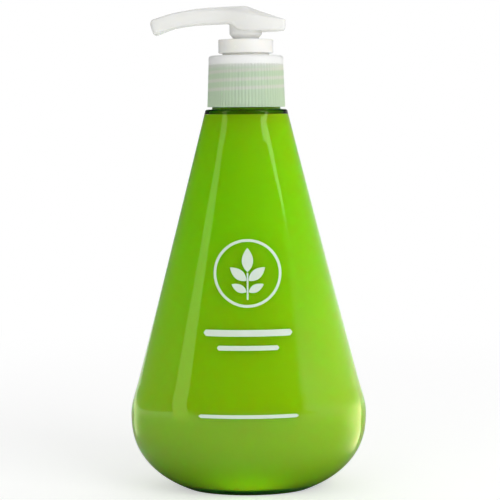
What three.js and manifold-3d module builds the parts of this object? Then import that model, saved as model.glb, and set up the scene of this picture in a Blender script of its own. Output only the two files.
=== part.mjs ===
// A toothpaste pump dispenser: an oval, cone-shaped bottle of gel, closed by a screw-on pump.
// The pump head is pressed down on its lock ring, as the dispenser is sold.
// Millimetres. +Z is the bottle's axis from the middle of its foot, X is its width, and its front faces -Y.

import * as THREE from "three";
import { mergeVertices } from "three/addons/utils/BufferGeometryUtils.js";
import Module from "manifold-3d";

const wasm = await Module();
wasm.setup();

// Clearances
const seatGap = 0.25; // between a piece and what it rests on
const slideGap = 0.25; // round a piece that slides or turns in another
const wellGap = 0.4; // between the gel and the pump that stands in it

// Bottle: the front outline is a heel, a belly, a long cone with a slight flare, and a flat shoulder
const bellyHalfWidth = 41.4;
const bellyHeight = 26.5;
const heelDepth = 30.3; // where the heel's curve would close under the belly
const heelPower = 2.41; // 2 is an ellipse, and more is squarer
const coneStart = 38; // height at which the belly runs out into the cone
const coneRatioLow = 0.266; // half width lost for each millimetre up, at the cone's foot
const coneRatioHigh = 0.253; // the same at its top
const shoulderHalfWidth = 14.4;
const shoulderHeight = 133;
const shoulderRound = 0.9;
const bellyDepthRatio = 0.66; // depth over width at the belly and below it
const shoulderDepthRatio = 0.94; // depth over width at the shoulder
const bottleWall = 0.8;
const bottleFloor = 1.2;
const footWidth = 2.6; // flat ring that the bottle stands on
const pushUp = 3; // hollow under the foot
const neckBaseRadius = 11.9;
const neckBaseHeight = 1.1;
const neckStep = 1; // from the neck's base in to its thread wall
const neckWall = 1.4;
const neckHeight = 14.3;
const slopeStep = 0.05; // height over which the skin's slope is measured
const gelHeadspace = 2; // from the gel in the neck up to the mouth

// Screw collar
const collarLift = 0.75; // above the shoulder
const collarRoom = 0.3; // from the neck to the collar's bore
const collarWall = 0.75; // at its top, ribs included
const collarFlare = 0.55; // wider at its foot
const collarRoof = 1.1;
const collarRound = 1.1;
const smoothBand = 3.1; // above the ribs
const ribCount = 72;
const ribHeight = 0.35;
const ribFoot = 0.84; // share of a rib's pitch that its foot takes
const ribCrest = 0.4; // share of the pitch that its crest takes

// Lock ring, which snaps into the housing and traps the collar's roof
const ringLift = 0.8; // above the collar
const ringHeight = 4.7;
const ringRadius = 9.5;
const ringRound = 0.4;
const ringNeckRadius = 8.1;
const ringRoom = 0.3; // round the ring's neck in the collar's roof
const ringBore = 4.95; // for the head's plug
const guideLength = 6.5; // of the skirt inside the housing

// Gasket and pump housing
const gasketThickness = 1;
const gasketRoom = 0.6; // round the housing
const flangeLip = 0.3; // past the neck
const flangeThickness = 1.3;
const housingBore = 6.6;
const housingWall = 1;
const housingFloor = 1.4;
const inletCone = 4.6; // height of the cone under the cylinder
const inletBore = 1.6;
const valveChamberBore = 3.4;
const nippleWall = 1.1;
const nippleLength = 7;

// Dip tube
const tubeRadius = 3;
const tubeWall = 0.7;
const tubeFoot = 6.8; // height of its open end

// Moving parts of the pump
const pumpStroke = 14;
const pistonSlip = 1; // lost motion that opens the ports
const pistonHeight = 7;
const pistonWaist = 0.7;
const stemRadius = 2.9;
const stemBore = 1.9;
const stemBeadHeight = 1.2;
const stemBeadWidth = 1;
const portRadius = 0.7;
const rodFlangeRadius = 5.4;
const rodFlangeThickness = 1.2;
const rodRadius = 1.6;
const rodLength = 8; // below its flange
const rodSpigot = 2.4; // up into the stem
const ballRadius = 2.4;
const ballLift = 0.9; // from its seat to the cage
const cageThickness = 1;
const cageRim = 1.6;
const cageHubRadius = 1.5;
const cageSpoke = 1.3;
const springTurns = 7;
const springLength = 13.8;
const springRadius = 4.5; // to the middle of the wire
const wireRadius = 0.45;
const lipShare = 5; // lips in a piston's height, counted with the waist between them

// Pump head: a drooping nozzle, a crowned top and a short thumb tab over a round hub
const hubRise = 2.8; // from the ring's top to the underside of the tab
const hubRadius = 5.6;
const hubChamfer = 1.2;
const plugRadius = 4.5;
const plugNeck = 0.6; // of the plug that shows above the ring
const headHeight = 8.7; // from the underside of the tab to the crown
const nozzleReach = 33.2;
const nozzleHalfWidth = 2.8;
const nozzleRise = 2.5; // of the nozzle's underside at its root above the tab's
const nozzleDroop = 3.75; // of the tip below the root
const nozzleBore = 1.5;
const tabReach = 12.9;
const tabHalfWidth = 7.6;
const headCorner = 0.9; // round of the lower edges
const plugLength = 5.3; // below the ring's top
const endRound = 0.8; // of the nozzle's tip and the tab's end
const endShare = 0.6; // size of the flat that is left in the middle of a rounded end

// Stations from the tip to the hub. out is a share of the way, ridge and edge are below the crown,
// under is below the nozzle's root, back sets the underside in from the ridge, and width is a share
// of the half width.
const nozzleForm = [
  { out: 1, ridge: nozzleDroop + 1, edge: nozzleDroop + 1.5, under: nozzleDroop, back: 1.9, width: 1 },
  { out: 0.72, ridge: 2.35, edge: 2.9, under: 1.4, back: 1.4, width: 1.04 },
  { out: 0.43, ridge: 0.9, edge: 1.65, under: 0.4, back: 0.5, width: 1.1 },
  { out: 0.16, ridge: 0.3, edge: 1.75, under: 0.05, back: 0, width: 1.32 },
  { out: 0, ridge: 0.1, edge: 2.1, under: 0, back: 0, width: 1.74 },
];

// Stations from the front of the hub to the end of the tab, with under counted up from the tab's underside.
const tabForm = [
  { out: -0.22, ridge: 0, edge: 2.5, under: 0.6, width: 0.79 },
  { out: 0.03, ridge: 0.05, edge: 2.9, under: 0, width: 0.92 },
  { out: 0.33, ridge: 1.45, edge: 3.5, under: 0, width: 1 },
  { out: 0.66, ridge: 2.9, edge: 4.1, under: 0.05, width: 0.98 },
  { out: 1, ridge: 4.5, edge: 4.7, under: 0.3, width: 0.83 },
];

// Where the paste's way runs, as shares of the head's curves from the tip to the end of the tab
const pasteStations = [0.1, 0.22, 0.34];
const pasteBend = 0.4;

// Facets
const bodySides = 44; // round the bottle and the collar
const turnedSides = 32;
const smallSides = 20;
const wireSides = 6;
const wireSteps = 14; // to a turn of the spring
const boreSides = 10;
const heelSteps = 8;
const bellySteps = 3;
const coneSteps = 4;
const floorSteps = 4;
const roundSteps = 3;
const crownSteps = 4;
const headSteps = 27;

// Sizes that follow from those above
const neckRadius = neckBaseRadius - neckStep;
const neckBore = neckRadius - neckWall;
const mouthHeight = shoulderHeight + neckHeight;
const gasketBase = mouthHeight + seatGap;
const flangeBase = gasketBase + gasketThickness + seatGap;
const flangeTop = flangeBase + flangeThickness;
const ceiling = flangeTop + seatGap;
const collarTop = ceiling + collarRoof;
const collarBase = shoulderHeight + collarLift;
const ringBase = collarTop + ringLift;
const ringTop = ringBase + ringHeight;
const skirtFoot = flangeTop - guideLength;
const beadTop = skirtFoot - seatGap - pumpStroke;
const pistonTop = beadTop - stemBeadHeight - pistonSlip;
const pistonFoot = pistonTop - pistonHeight;
const rodFlangeTop = pistonFoot - seatGap;
const rodFlangeFoot = rodFlangeTop - rodFlangeThickness;
const springTop = rodFlangeFoot - seatGap;
const springFoot = springTop - springLength;
const cageTop = springFoot - seatGap;
const cageFoot = cageTop - cageThickness;
const chamberTop = cageFoot - seatGap;
const ballSeatDepth = (ballRadius + seatGap / 2) * Math.SQRT2; // from the seat's apex to the ball's centre
const ballCentre = cageFoot - seatGap - ballLift - ballRadius;
const seatTop = ballCentre - ballSeatDepth + valveChamberBore;
const seatFoot = seatTop - (valveChamberBore - inletBore);
const tubeStop = seatFoot - housingFloor;
const nippleFoot = tubeStop - nippleLength;
const nippleRadius = tubeRadius + slideGap + nippleWall;
const housingRadius = housingBore + housingWall;
const flangeRadius = neckRadius + flangeLip;
const gasketBore = housingRadius + gasketRoom;
const collarBore = neckBaseRadius + collarRoom;
const collarRadius = collarBore + collarWall;
const collarFootRadius = collarRadius + collarFlare;
const collarHole = ringNeckRadius + ringRoom;
const headUnder = ringTop + hubRise;
const crown = headUnder + headHeight;
const stemTop = headUnder + nozzleRise / 2;
const plugFoot = ringTop - plugLength;

// Finishes
const clearGreen = new THREE.MeshStandardMaterial({ color: 0x8cc63a, roughness: 0.08, metalness: 0 });
const gelGreen = new THREE.MeshStandardMaterial({ color: 0x76bc05, roughness: 0.35, metalness: 0 });
const frostedWhite = new THREE.MeshStandardMaterial({ color: 0xdfe6dc, roughness: 0.45, metalness: 0 });
const warmWhite = new THREE.MeshStandardMaterial({ color: 0xf3f1ea, roughness: 0.35, metalness: 0 });
const milkyWhite = new THREE.MeshStandardMaterial({ color: 0xe9eaec, roughness: 0.3, metalness: 0 });
const naturalWhite = new THREE.MeshStandardMaterial({ color: 0xe6e8e2, roughness: 0.5, metalness: 0 });
const softGrey = new THREE.MeshStandardMaterial({ color: 0xc9ccc8, roughness: 0.7, metalness: 0 });
const steel = new THREE.MeshStandardMaterial({ color: 0xb9bcc0, roughness: 0.25, metalness: 1 });

// A closed surface with its vertices merged, as a solid that booleans can use.
function solidOf(geometry) {
  const bare = geometry.clone();
  bare.deleteAttribute("normal");
  bare.deleteAttribute("uv");
  const merged = mergeVertices(bare, 1e-4);
  const corners = merged.index.array;
  const kept = [];
  for (let i = 0; i < corners.length; i += 3) {
    const [a, b, c] = corners.slice(i, i + 3);
    if (a !== b && b !== c && c !== a) kept.push(a, b, c);
  }
  const vertProperties = merged.attributes.position.array;
  const build = (triVerts) => new wasm.Manifold(new wasm.Mesh({ numProp: 3, vertProperties, triVerts }));
  const solid = build(new Uint32Array(kept));
  return solid.volume() > 0 ? solid : build(new Uint32Array(kept.reverse()));
}

// A named mesh with its finish, from a solid.
function piece(name, solid, finish) {
  const { numProp, vertProperties, triVerts } = solid.getMesh();
  const positions = new Float32Array((vertProperties.length / numProp) * 3);
  for (let i = 0; i < positions.length / 3; i += 1) {
    positions.set(vertProperties.subarray(i * numProp, i * numProp + 3), i * 3);
  }
  const geometry = new THREE.BufferGeometry();
  geometry.setAttribute("position", new THREE.BufferAttribute(positions, 3));
  geometry.setIndex(new THREE.BufferAttribute(triVerts, 1));
  geometry.computeVertexNormals();
  const mesh = new THREE.Mesh(geometry, finish);
  mesh.name = name;
  return mesh;
}

// A solid turned about Z from [radius, height] pairs.
// A profile that doesn't start on the axis is closed on itself.
function turned(profile, sides = turnedSides) {
  const points = profile.map(([radius, height]) => new THREE.Vector2(radius, height));
  if (profile[0][0] > 0) points.push(points[0].clone());
  return solidOf(new THREE.LatheGeometry(points, sides).rotateX(Math.PI / 2));
}

// A solid turned about Z and pressed oval: each ring has its own half width and half depth.
function turnedOval(rings, sides = bodySides) {
  const points = rings.map(({ wide, height }) => new THREE.Vector2(wide, height));
  const geometry = new THREE.LatheGeometry(points, sides).rotateX(Math.PI / 2);
  const position = geometry.attributes.position;
  for (let i = 0; i < position.count; i += 1) {
    const { wide, deep } = rings[i % rings.length];
    if (wide > 0) position.setY(i, (position.getY(i) * deep) / wide);
  }
  return solidOf(geometry);
}

// The mean of a section's points.
function middleOf(section) {
  return section.reduce((sum, p) => sum.add(p), new THREE.Vector3()).divideScalar(section.length);
}

// A solid skinned over closed sections that all have the same number of points, with a fan over each end.
function lofted(sections) {
  const count = sections[0].length;
  const points = [...sections.flat(), middleOf(sections[0]), middleOf(sections[sections.length - 1])];
  const first = sections.length * count;
  const last = (sections.length - 1) * count;
  const faces = [];
  for (let j = 0; j < count; j += 1) {
    const k = (j + 1) % count;
    for (let i = 0; i < last; i += count) {
      faces.push(i + j, i + k, i + count + k, i + j, i + count + k, i + count + j);
    }
    faces.push(first, k, j, first + 1, last + j, last + k);
  }
  const geometry = new THREE.BufferGeometry().setFromPoints(points);
  geometry.setIndex(faces);
  return solidOf(geometry);
}

// A round bar along a curve.
function barAlong(path, radius, steps, sides) {
  const circle = new THREE.Path().absarc(0, 0, radius, 0, 2 * Math.PI);
  const section = new THREE.Shape(circle.getSpacedPoints(sides).slice(1));
  return solidOf(new THREE.ExtrudeGeometry(section, { steps, extrudePath: path, bevelEnabled: false }));
}

// [radius, height] points that round a piece's top outer edge, from its side up onto its top.
function roundedEdge(radius, top, round) {
  const points = [];
  for (let i = 0; i <= roundSteps; i += 1) {
    const angle = ((Math.PI / 2) * i) / roundSteps;
    points.push([radius - round + round * Math.cos(angle), top - round + round * Math.sin(angle)]);
  }
  return points;
}

// The bottle's outer half width at a height, from its foot to the end of the cone.
function bottleHalfWidth(height) {
  if (height <= bellyHeight) {
    return bellyHalfWidth * Math.sqrt(1 - ((bellyHeight - height) / heelDepth) ** heelPower);
  }
  const fall = shoulderHeight - shoulderRound - Math.max(height, coneStart);
  const length = shoulderHeight - shoulderRound - coneStart;
  const flare = (coneRatioLow - coneRatioHigh) / (2 * length);
  const cone = shoulderHalfWidth + coneRatioHigh * fall + flare * fall * fall;
  if (height >= coneStart) return cone;
  // The belly is a smooth step from an upright tangent to the cone's own slope.
  const span = coneStart - bellyHeight;
  const t = (height - bellyHeight) / span;
  const drop = bellyHalfWidth - cone;
  const slope = coneRatioLow * span;
  return bellyHalfWidth - drop * t * t * (3 - 2 * t) + slope * t * t * (1 - t);
}

// The bottle's depth over its width at a height.
function depthRatio(height) {
  const t = (height - bellyHeight) / (shoulderHeight - bellyHeight);
  return THREE.MathUtils.lerp(bellyDepthRatio, shoulderDepthRatio, THREE.MathUtils.clamp(t, 0, 1));
}

// An oval ring of the bottle's form at a height, set in from its outer skin along the skin's normal.
function bottleRing(height, inset) {
  const half = (h) => [bottleHalfWidth(h), bottleHalfWidth(h) * depthRatio(h)];
  const low = Math.max(height - slopeStep, 0);
  const high = height + slopeStep;
  const [wideLow, deepLow] = half(low);
  const [wideHigh, deepHigh] = half(high);
  const run = high - low;
  const [wide, deep] = half(height);
  return {
    wide: wide - inset * Math.hypot(1, (wideHigh - wideLow) / run),
    deep: deep - inset * Math.hypot(1, (deepHigh - deepLow) / run),
    height,
  };
}

const roundRing = (radius, height) => ({ wide: radius, deep: radius, height });

// Heights of the rings up the bottle's side: close together round the heel and belly, and few on the cone.
function sideHeights(from, to) {
  const between = (low, high, t) => low + (high - low) * t;
  const heights = [from];
  for (let i = 1; i <= heelSteps; i += 1) heights.push(between(from, bellyHeight, (i / heelSteps) ** 1.5));
  for (let i = 1; i <= bellySteps; i += 1) heights.push(between(bellyHeight, coneStart, i / bellySteps));
  for (let i = 1; i <= coneSteps; i += 1) heights.push(between(coneStart, to, i / coneSteps));
  return heights;
}

// The domed floor from the axis out to a rim ring, lifted by the hollow under the foot.
function floorRings(rim, centreHeight) {
  const rings = [];
  for (let i = 0; i < floorSteps; i += 1) {
    const t = i / floorSteps;
    const height = centreHeight + (rim.height - centreHeight) * t * t;
    rings.push({ wide: rim.wide * t, deep: rim.deep * t, height });
  }
  return [...rings, rim];
}

// Blow-moulded bottle: one thin wall from the pushed-up foot to the round mouth.
function bottle() {
  const foot = bottleRing(0, 0);
  const footInner = { wide: foot.wide - footWidth, deep: foot.deep - footWidth, height: 0 };
  const coneEnd = shoulderHeight - shoulderRound;
  const edge = bottleRing(coneEnd, 0);
  const corner = roundedEdge(0, shoulderHeight, shoulderRound).slice(1).map(([inward, height]) => {
    return { wide: edge.wide + inward, deep: edge.deep + inward, height };
  });
  const neckOutside = [
    roundRing(neckBaseRadius, shoulderHeight),
    roundRing(neckBaseRadius, shoulderHeight + neckBaseHeight),
    roundRing(neckRadius, shoulderHeight + neckBaseHeight + neckStep),
    roundRing(neckRadius, mouthHeight),
  ];
  const innerTop = coneEnd - bottleWall;
  const neckInside = [roundRing(neckBore, mouthHeight), roundRing(neckBore, shoulderHeight - bottleWall)];
  const inside = sideHeights(bottleFloor, innerTop).map((h) => bottleRing(h, bottleWall));
  return turnedOval([
    ...floorRings(footInner, pushUp),
    ...sideHeights(0, coneEnd).map((h) => bottleRing(h, 0)),
    ...corner,
    ...neckOutside,
    ...neckInside,
    ...inside.reverse(),
    ...floorRings(inside[inside.length - 1], pushUp + bottleWall).slice(0, -1).reverse(),
  ]);
}

// Gel: fills the bottle and most of its neck, with a stepped well where the pump stands.
function gel() {
  const inset = bottleWall + seatGap;
  const top = mouthHeight - gelHeadspace;
  const foot = bottleFloor + seatGap;
  const shoulder = shoulderHeight - inset;
  const side = sideHeights(foot, shoulder - shoulderRound).map((h) => bottleRing(h, inset));
  const body = turnedOval([
    ...floorRings(side[0], pushUp + bottleWall + seatGap),
    ...side,
    roundRing(neckBore - seatGap, shoulder),
    roundRing(neckBore - seatGap, top),
    roundRing(0, top),
  ]);
  const well = turned([
    [0, tubeFoot - wellGap],
    [tubeRadius + wellGap, tubeFoot - wellGap],
    [tubeRadius + wellGap, nippleFoot - wellGap],
    [nippleRadius + wellGap, nippleFoot - wellGap],
    [nippleRadius + wellGap, tubeStop - wellGap],
    [housingRadius + wellGap, tubeStop + inletCone - wellGap],
    [housingRadius + wellGap, top + inset],
    [0, top + inset],
  ]);
  return body.subtract(well);
}

// Screw collar: a tapered skirt with fine upright ribs, a smooth band and a rounded, holed roof.
function screwCollar() {
  const ribTop = collarTop - smoothBand;
  const sections = [
    [collarBase, collarFootRadius],
    [ribTop, collarRadius],
  ].map(([height, radius]) => {
    const points = [];
    for (let i = 0; i < ribCount; i += 1) {
      for (const share of [-ribFoot, -ribCrest, ribCrest, ribFoot]) {
        const angle = ((i + share / 2) * 2 * Math.PI) / ribCount;
        const reach = Math.abs(share) === ribFoot ? radius - ribHeight : radius;
        points.push(new THREE.Vector3(reach * Math.cos(angle), reach * Math.sin(angle), height));
      }
    }
    return points;
  });
  const cap = turned([
    [0, ribTop],
    [collarRadius, ribTop],
    ...roundedEdge(collarRadius, collarTop, collarRound),
    [0, collarTop],
  ], bodySides);
  const bore = turned([
    [0, collarBase - seatGap],
    [collarBore, collarBase - seatGap],
    [collarBore, ceiling],
    [collarHole, ceiling],
    [collarHole, collarTop + seatGap],
    [0, collarTop + seatGap],
  ], bodySides);
  return lofted(sections).add(cap).subtract(bore);
}

// Lock ring: a thick ring over the collar, a neck through its roof, and a skirt that guides the stem.
function lockRing() {
  const skirtRadius = housingBore - slideGap;
  const guideBore = stemRadius + slideGap;
  return turned([
    [guideBore, skirtFoot],
    [skirtRadius, skirtFoot],
    [skirtRadius, flangeTop + seatGap],
    [ringNeckRadius, flangeTop + seatGap],
    [ringNeckRadius, ringBase],
    [ringRadius, ringBase],
    ...roundedEdge(ringRadius, ringTop, ringRound),
    [ringBore + ringRound, ringTop],
    [ringBore, ringTop - ringRound],
    [ringBore, plugFoot - seatGap],
    [guideBore, plugFoot - seatGap],
  ]);
}

// Gasket between the bottle's mouth and the housing's flange.
function gasket() {
  return turned([
    [gasketBore, gasketBase],
    [flangeRadius, gasketBase],
    [flangeRadius, gasketBase + gasketThickness],
    [gasketBore, gasketBase + gasketThickness],
  ]);
}

// Pump housing: a flanged cylinder with a valve chamber, a conical ball seat and a nipple for the dip tube.
function pumpHousing() {
  const tubeSocket = tubeRadius + slideGap;
  return turned([
    [tubeSocket, nippleFoot],
    [nippleRadius, nippleFoot],
    [nippleRadius, tubeStop],
    [housingRadius, tubeStop + inletCone],
    [housingRadius, flangeBase],
    [flangeRadius, flangeBase],
    [flangeRadius, flangeTop],
    [housingBore, flangeTop],
    [housingBore, chamberTop],
    [valveChamberBore, chamberTop],
    [valveChamberBore, seatTop],
    [inletBore, seatFoot],
    [inletBore, tubeStop],
    [tubeSocket, tubeStop],
  ]);
}

// Dip tube from the housing's nipple to just above the bottle's floor.
function dipTube() {
  const top = tubeStop - seatGap;
  return turned([
    [tubeRadius - tubeWall, tubeFoot],
    [tubeRadius, tubeFoot],
    [tubeRadius, top],
    [tubeRadius - tubeWall, top],
  ], smallSides);
}

// Ball of the inlet valve, resting in its conical seat.
function inletBall() {
  const ball = new THREE.SphereGeometry(ballRadius, smallSides, smallSides / 2).rotateX(Math.PI / 2);
  return solidOf(ball.translate(0, 0, ballCentre));
}

// Spoked cage that keeps the ball in its chamber and carries the spring.
function ballCage() {
  const radius = housingBore - slideGap;
  const ring = turned([
    [radius - cageRim, cageFoot],
    [radius, cageFoot],
    [radius, cageTop],
    [radius - cageRim, cageTop],
  ]);
  const hub = new THREE.CylinderGeometry(cageHubRadius, cageHubRadius, cageThickness, smallSides)
    .rotateX(Math.PI / 2)
    .translate(0, 0, (cageFoot + cageTop) / 2);
  let cage = ring.add(solidOf(hub));
  const reach = radius - cageRim / 2;
  for (const angle of [0, 1, 2].map((i) => (i * 2 * Math.PI) / 3)) {
    const spoke = new THREE.BoxGeometry(reach, cageSpoke, cageThickness)
      .translate(reach / 2, 0, (cageFoot + cageTop) / 2)
      .rotateZ(angle);
    cage = cage.add(solidOf(spoke));
  }
  return cage;
}

// A coil about Z for the spring.
class Coil extends THREE.Curve {
  getPoint(t, target = new THREE.Vector3()) {
    const angle = t * springTurns * 2 * Math.PI;
    const height = springFoot + wireRadius + t * (springLength - 2 * wireRadius);
    return target.set(springRadius * Math.cos(angle), springRadius * Math.sin(angle), height);
  }
}

// Return spring, held short while the head is locked down.
function returnSpring() {
  return barAlong(new Coil(), wireRadius, springTurns * wireSteps, wireSides);
}

// Valve rod: a flange that carries the piston and sits on the spring, with a spigot up into the stem.
function valveRod() {
  return turned([
    [0, rodFlangeFoot - rodLength],
    [rodRadius, rodFlangeFoot - rodLength],
    [rodRadius, rodFlangeFoot],
    [rodFlangeRadius, rodFlangeFoot],
    [rodFlangeRadius, rodFlangeTop],
    [stemBore - slideGap, rodFlangeTop],
    [stemBore - slideGap, rodFlangeTop + rodSpigot],
    [0, rodFlangeTop + rodSpigot],
  ], smallSides);
}

// Piston: a soft sleeve with a sealing lip at each end.
function piston() {
  const lip = housingBore - slideGap;
  const bore = stemRadius + slideGap;
  const lipHeight = pistonHeight / lipShare;
  return turned([
    [bore, pistonFoot],
    [lip - pistonWaist, pistonFoot],
    [lip, pistonFoot + lipHeight / 2],
    [lip, pistonFoot + lipHeight],
    [lip - pistonWaist, pistonFoot + 2 * lipHeight],
    [lip - pistonWaist, pistonTop - 2 * lipHeight],
    [lip, pistonTop - lipHeight],
    [lip, pistonTop - lipHeight / 2],
    [lip - pistonWaist, pistonTop],
    [bore, pistonTop],
  ]);
}

// Stem: the hollow rod from the piston up into the head, with a bead above the piston and two cross ports.
function stem() {
  const foot = rodFlangeTop + seatGap;
  const tube = turned([
    [stemBore, foot],
    [stemRadius, foot],
    [stemRadius, beadTop - stemBeadHeight],
    [stemRadius + stemBeadWidth, beadTop - stemBeadHeight],
    [stemRadius + stemBeadWidth, beadTop],
    [stemRadius, beadTop],
    [stemRadius, stemTop],
    [stemBore, stemTop],
  ], smallSides);
  const port = new THREE.CylinderGeometry(portRadius, portRadius, 4 * stemRadius, smallSides / 2);
  return tube.subtract(solidOf(port.translate(0, 0, rodFlangeTop + pistonHeight / 2)));
}

// One cross section of the head: flat underside, rounded lower corners, upright sides and a crowned top.
function headSection({ ridge, edge, under, half }) {
  const at = (y, p) => new THREE.Vector3(p.x, y, p.y);
  const side = edge.clone().sub(under);
  const corner = Math.min(headCorner, side.length() / 3);
  const right = [];
  for (const angle of [0, Math.PI / 4, Math.PI / 2]) {
    const p = under.clone().addScaledVector(side, (corner * (1 - Math.cos(angle))) / side.length());
    right.push(at(half - corner + corner * Math.sin(angle), p));
  }
  for (let i = 0; i < crownSteps; i += 1) {
    const inward = i / crownSteps;
    right.push(at(half * (1 - inward), edge.clone().lerp(ridge, 1 - (1 - inward) ** 2)));
  }
  const left = right.map((p) => new THREE.Vector3(p.x, -p.y, p.z)).reverse();
  return [...right, at(0, ridge), ...left];
}

// An end section of the head, drawn in towards its middle and set out past it, to round that end.
function endSection(section, inner, share, out) {
  const middle = middleOf(section);
  const away = middle.clone().sub(middleOf(inner)).setLength(out);
  return section.map((p) => p.clone().sub(middle).multiplyScalar(share).add(middle).add(away));
}

// The head's ridge, edge, underside and half width as smooth curves through its stations, tip first.
function headCurves() {
  const nozzle = nozzleForm.map(({ out, ridge, edge, under, back, width }) => ({
    x: THREE.MathUtils.lerp(-hubRadius, -nozzleReach, out),
    back,
    ridge: crown - ridge,
    edge: crown - edge,
    under: headUnder + nozzleRise - under,
    half: width * nozzleHalfWidth,
  }));
  const tab = tabForm.map(({ out, ridge, edge, under, width }) => ({
    x: out * tabReach,
    back: 0,
    ridge: crown - ridge,
    edge: crown - edge,
    under: headUnder + under,
    half: width * tabHalfWidth,
  }));
  const stations = [...nozzle, ...tab];
  const curve = (point) => new THREE.SplineCurve(stations.map((s) => new THREE.Vector2(...point(s))));
  const ridge = curve((s) => [s.x, s.ridge]);
  const edge = curve((s) => [s.x, s.edge]);
  const under = curve((s) => [s.x + s.back, s.under]);
  const widths = curve((s) => [s.half, 0]);
  return (t) => ({
    ridge: ridge.getPoint(t),
    edge: edge.getPoint(t),
    under: under.getPoint(t),
    half: widths.getPoint(t).x,
  });
}

// The way for the paste: up from the stem and out along the nozzle to its tip.
function pasteWay(stationAt) {
  const middle = (t) => {
    const { ridge, under } = stationAt(t);
    const p = ridge.lerp(under, 0.5);
    return new THREE.Vector3(p.x, 0, p.y);
  };
  const inside = pasteStations.map(middle);
  const outside = middle(0).sub(inside[0]).setLength(2 * endRound).add(middle(0));
  const bend = new THREE.Vector3(0, 0, middle(pasteBend).z);
  const along = new THREE.CatmullRomCurve3([outside, ...inside, bend]);
  const over = bend.clone().setZ(bend.z + nozzleBore / 2);
  const up = new THREE.LineCurve3(new THREE.Vector3(0, 0, stemTop), over);
  return barAlong(along, nozzleBore, headSteps, boreSides).add(barAlong(up, nozzleBore, 1, boreSides));
}

// Head: the nozzle, crown and tab as one loft, the hub and its plug below, and the bores in them.
function pumpHead() {
  const stationAt = headCurves();
  const sections = [];
  for (let i = 0; i <= headSteps; i += 1) sections.push(headSection(stationAt(i / headSteps)));
  const [tip, nextToTip] = sections;
  const [nextToTab, tab] = sections.slice(-2);
  const halfway = (2 + endShare) / 3;
  const skin = lofted([
    endSection(tip, nextToTip, endShare, endRound),
    endSection(tip, nextToTip, halfway, endRound / 2),
    ...sections,
    endSection(tab, nextToTab, halfway, endRound / 2),
    endSection(tab, nextToTab, endShare, endRound),
  ]);
  const plugTop = ringTop + plugNeck;
  const hubTop = headUnder + nozzleRise + headCorner;
  const hub = turned([
    [0, plugFoot],
    [plugRadius, plugFoot],
    [plugRadius, plugTop],
    [hubRadius, plugTop + hubChamfer],
    [hubRadius, hubTop],
    [0, hubTop],
  ]);
  const socketRadius = stemRadius + slideGap;
  const stemSocket = turned([
    [0, plugFoot - seatGap],
    [socketRadius, plugFoot - seatGap],
    [socketRadius, stemTop + seatGap],
    [0, stemTop + seatGap],
  ], smallSides);
  return skin.add(hub).subtract(stemSocket).subtract(pasteWay(stationAt));
}

const contents = new THREE.Group();
contents.add(piece("bottle", bottle(), clearGreen), piece("gel", gel(), gelGreen));

const pump = new THREE.Group();
pump.add(
  piece("pump_housing", pumpHousing(), naturalWhite),
  piece("lock_ring", lockRing(), warmWhite),
  piece("gasket", gasket(), softGrey),
  piece("dip_tube", dipTube(), naturalWhite),
  piece("ball_cage", ballCage(), naturalWhite),
  piece("return_spring", returnSpring(), steel),
  piece("inlet_ball", inletBall(), steel),
);

const plunger = new THREE.Group();
plunger.add(
  piece("valve_rod", valveRod(), naturalWhite),
  piece("stem", stem(), milkyWhite),
  piece("piston", piston(), softGrey),
  piece("pump_head", pumpHead(), milkyWhite),
);

const dispenser = new THREE.Group();
dispenser.add(contents, pump, plunger, piece("screw_collar", screwCollar(), frostedWhite));

export default dispenser;
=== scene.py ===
"""Looks of a toothpaste pump dispenser: an oval bottle of green gel under a lotion pump.

Sizes are written in millimetres, and one function turns them to metres.
"""

import logging
import math
from dataclasses import dataclass
from enum import Enum
from typing import Any, Callable, Iterable, List, Optional, Sequence, Tuple

import bpy
from mathutils import Matrix, Vector


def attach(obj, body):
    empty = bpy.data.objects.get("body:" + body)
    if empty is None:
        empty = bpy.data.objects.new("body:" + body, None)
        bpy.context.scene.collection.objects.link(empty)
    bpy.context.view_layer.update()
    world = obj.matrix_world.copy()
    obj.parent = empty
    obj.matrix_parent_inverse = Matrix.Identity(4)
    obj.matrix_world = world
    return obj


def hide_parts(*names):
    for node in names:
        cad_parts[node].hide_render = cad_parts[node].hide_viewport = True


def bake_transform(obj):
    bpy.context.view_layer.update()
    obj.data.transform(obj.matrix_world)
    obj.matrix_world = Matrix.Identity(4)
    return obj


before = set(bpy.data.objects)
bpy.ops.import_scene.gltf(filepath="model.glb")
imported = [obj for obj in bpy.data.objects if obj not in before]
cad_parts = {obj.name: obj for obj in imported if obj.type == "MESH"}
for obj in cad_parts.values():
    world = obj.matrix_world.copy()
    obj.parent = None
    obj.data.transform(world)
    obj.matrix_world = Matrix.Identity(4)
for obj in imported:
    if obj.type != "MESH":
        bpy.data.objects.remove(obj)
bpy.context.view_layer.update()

log = logging.getLogger("dispenser")

Point = Tuple[float, float]
Profile = List[Point]


# ---------------------------------------------------------------- units and colour


def metres(size: float) -> float:
    """Turns millimetres into metres."""
    return size / 1000.0


def linear(colour: str) -> Tuple[float, float, float, float]:
    """Turns an sRGB hex colour into a linear one.

    Args:
        colour: Six hex digits after a hash.

    Returns:
        Linear red, green and blue with an alpha of one.
    """
    shares = [int(colour[i : i + 2], 16) / 255 for i in (1, 3, 5)]
    line = [c / 12.92 if c <= 0.04045 else ((c + 0.055) / 1.055) ** 2.4 for c in shares]
    return (line[0], line[1], line[2], 1.0)


# ---------------------------------------------------------------- meshes


@dataclass(frozen=True)
class Ring:
    """One oval ring of a turned form.

    Attributes:
        wide: Half width along X.
        deep: Half depth along Y.
        height: Height along Z.
    """

    wide: float
    deep: float
    height: float


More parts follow.
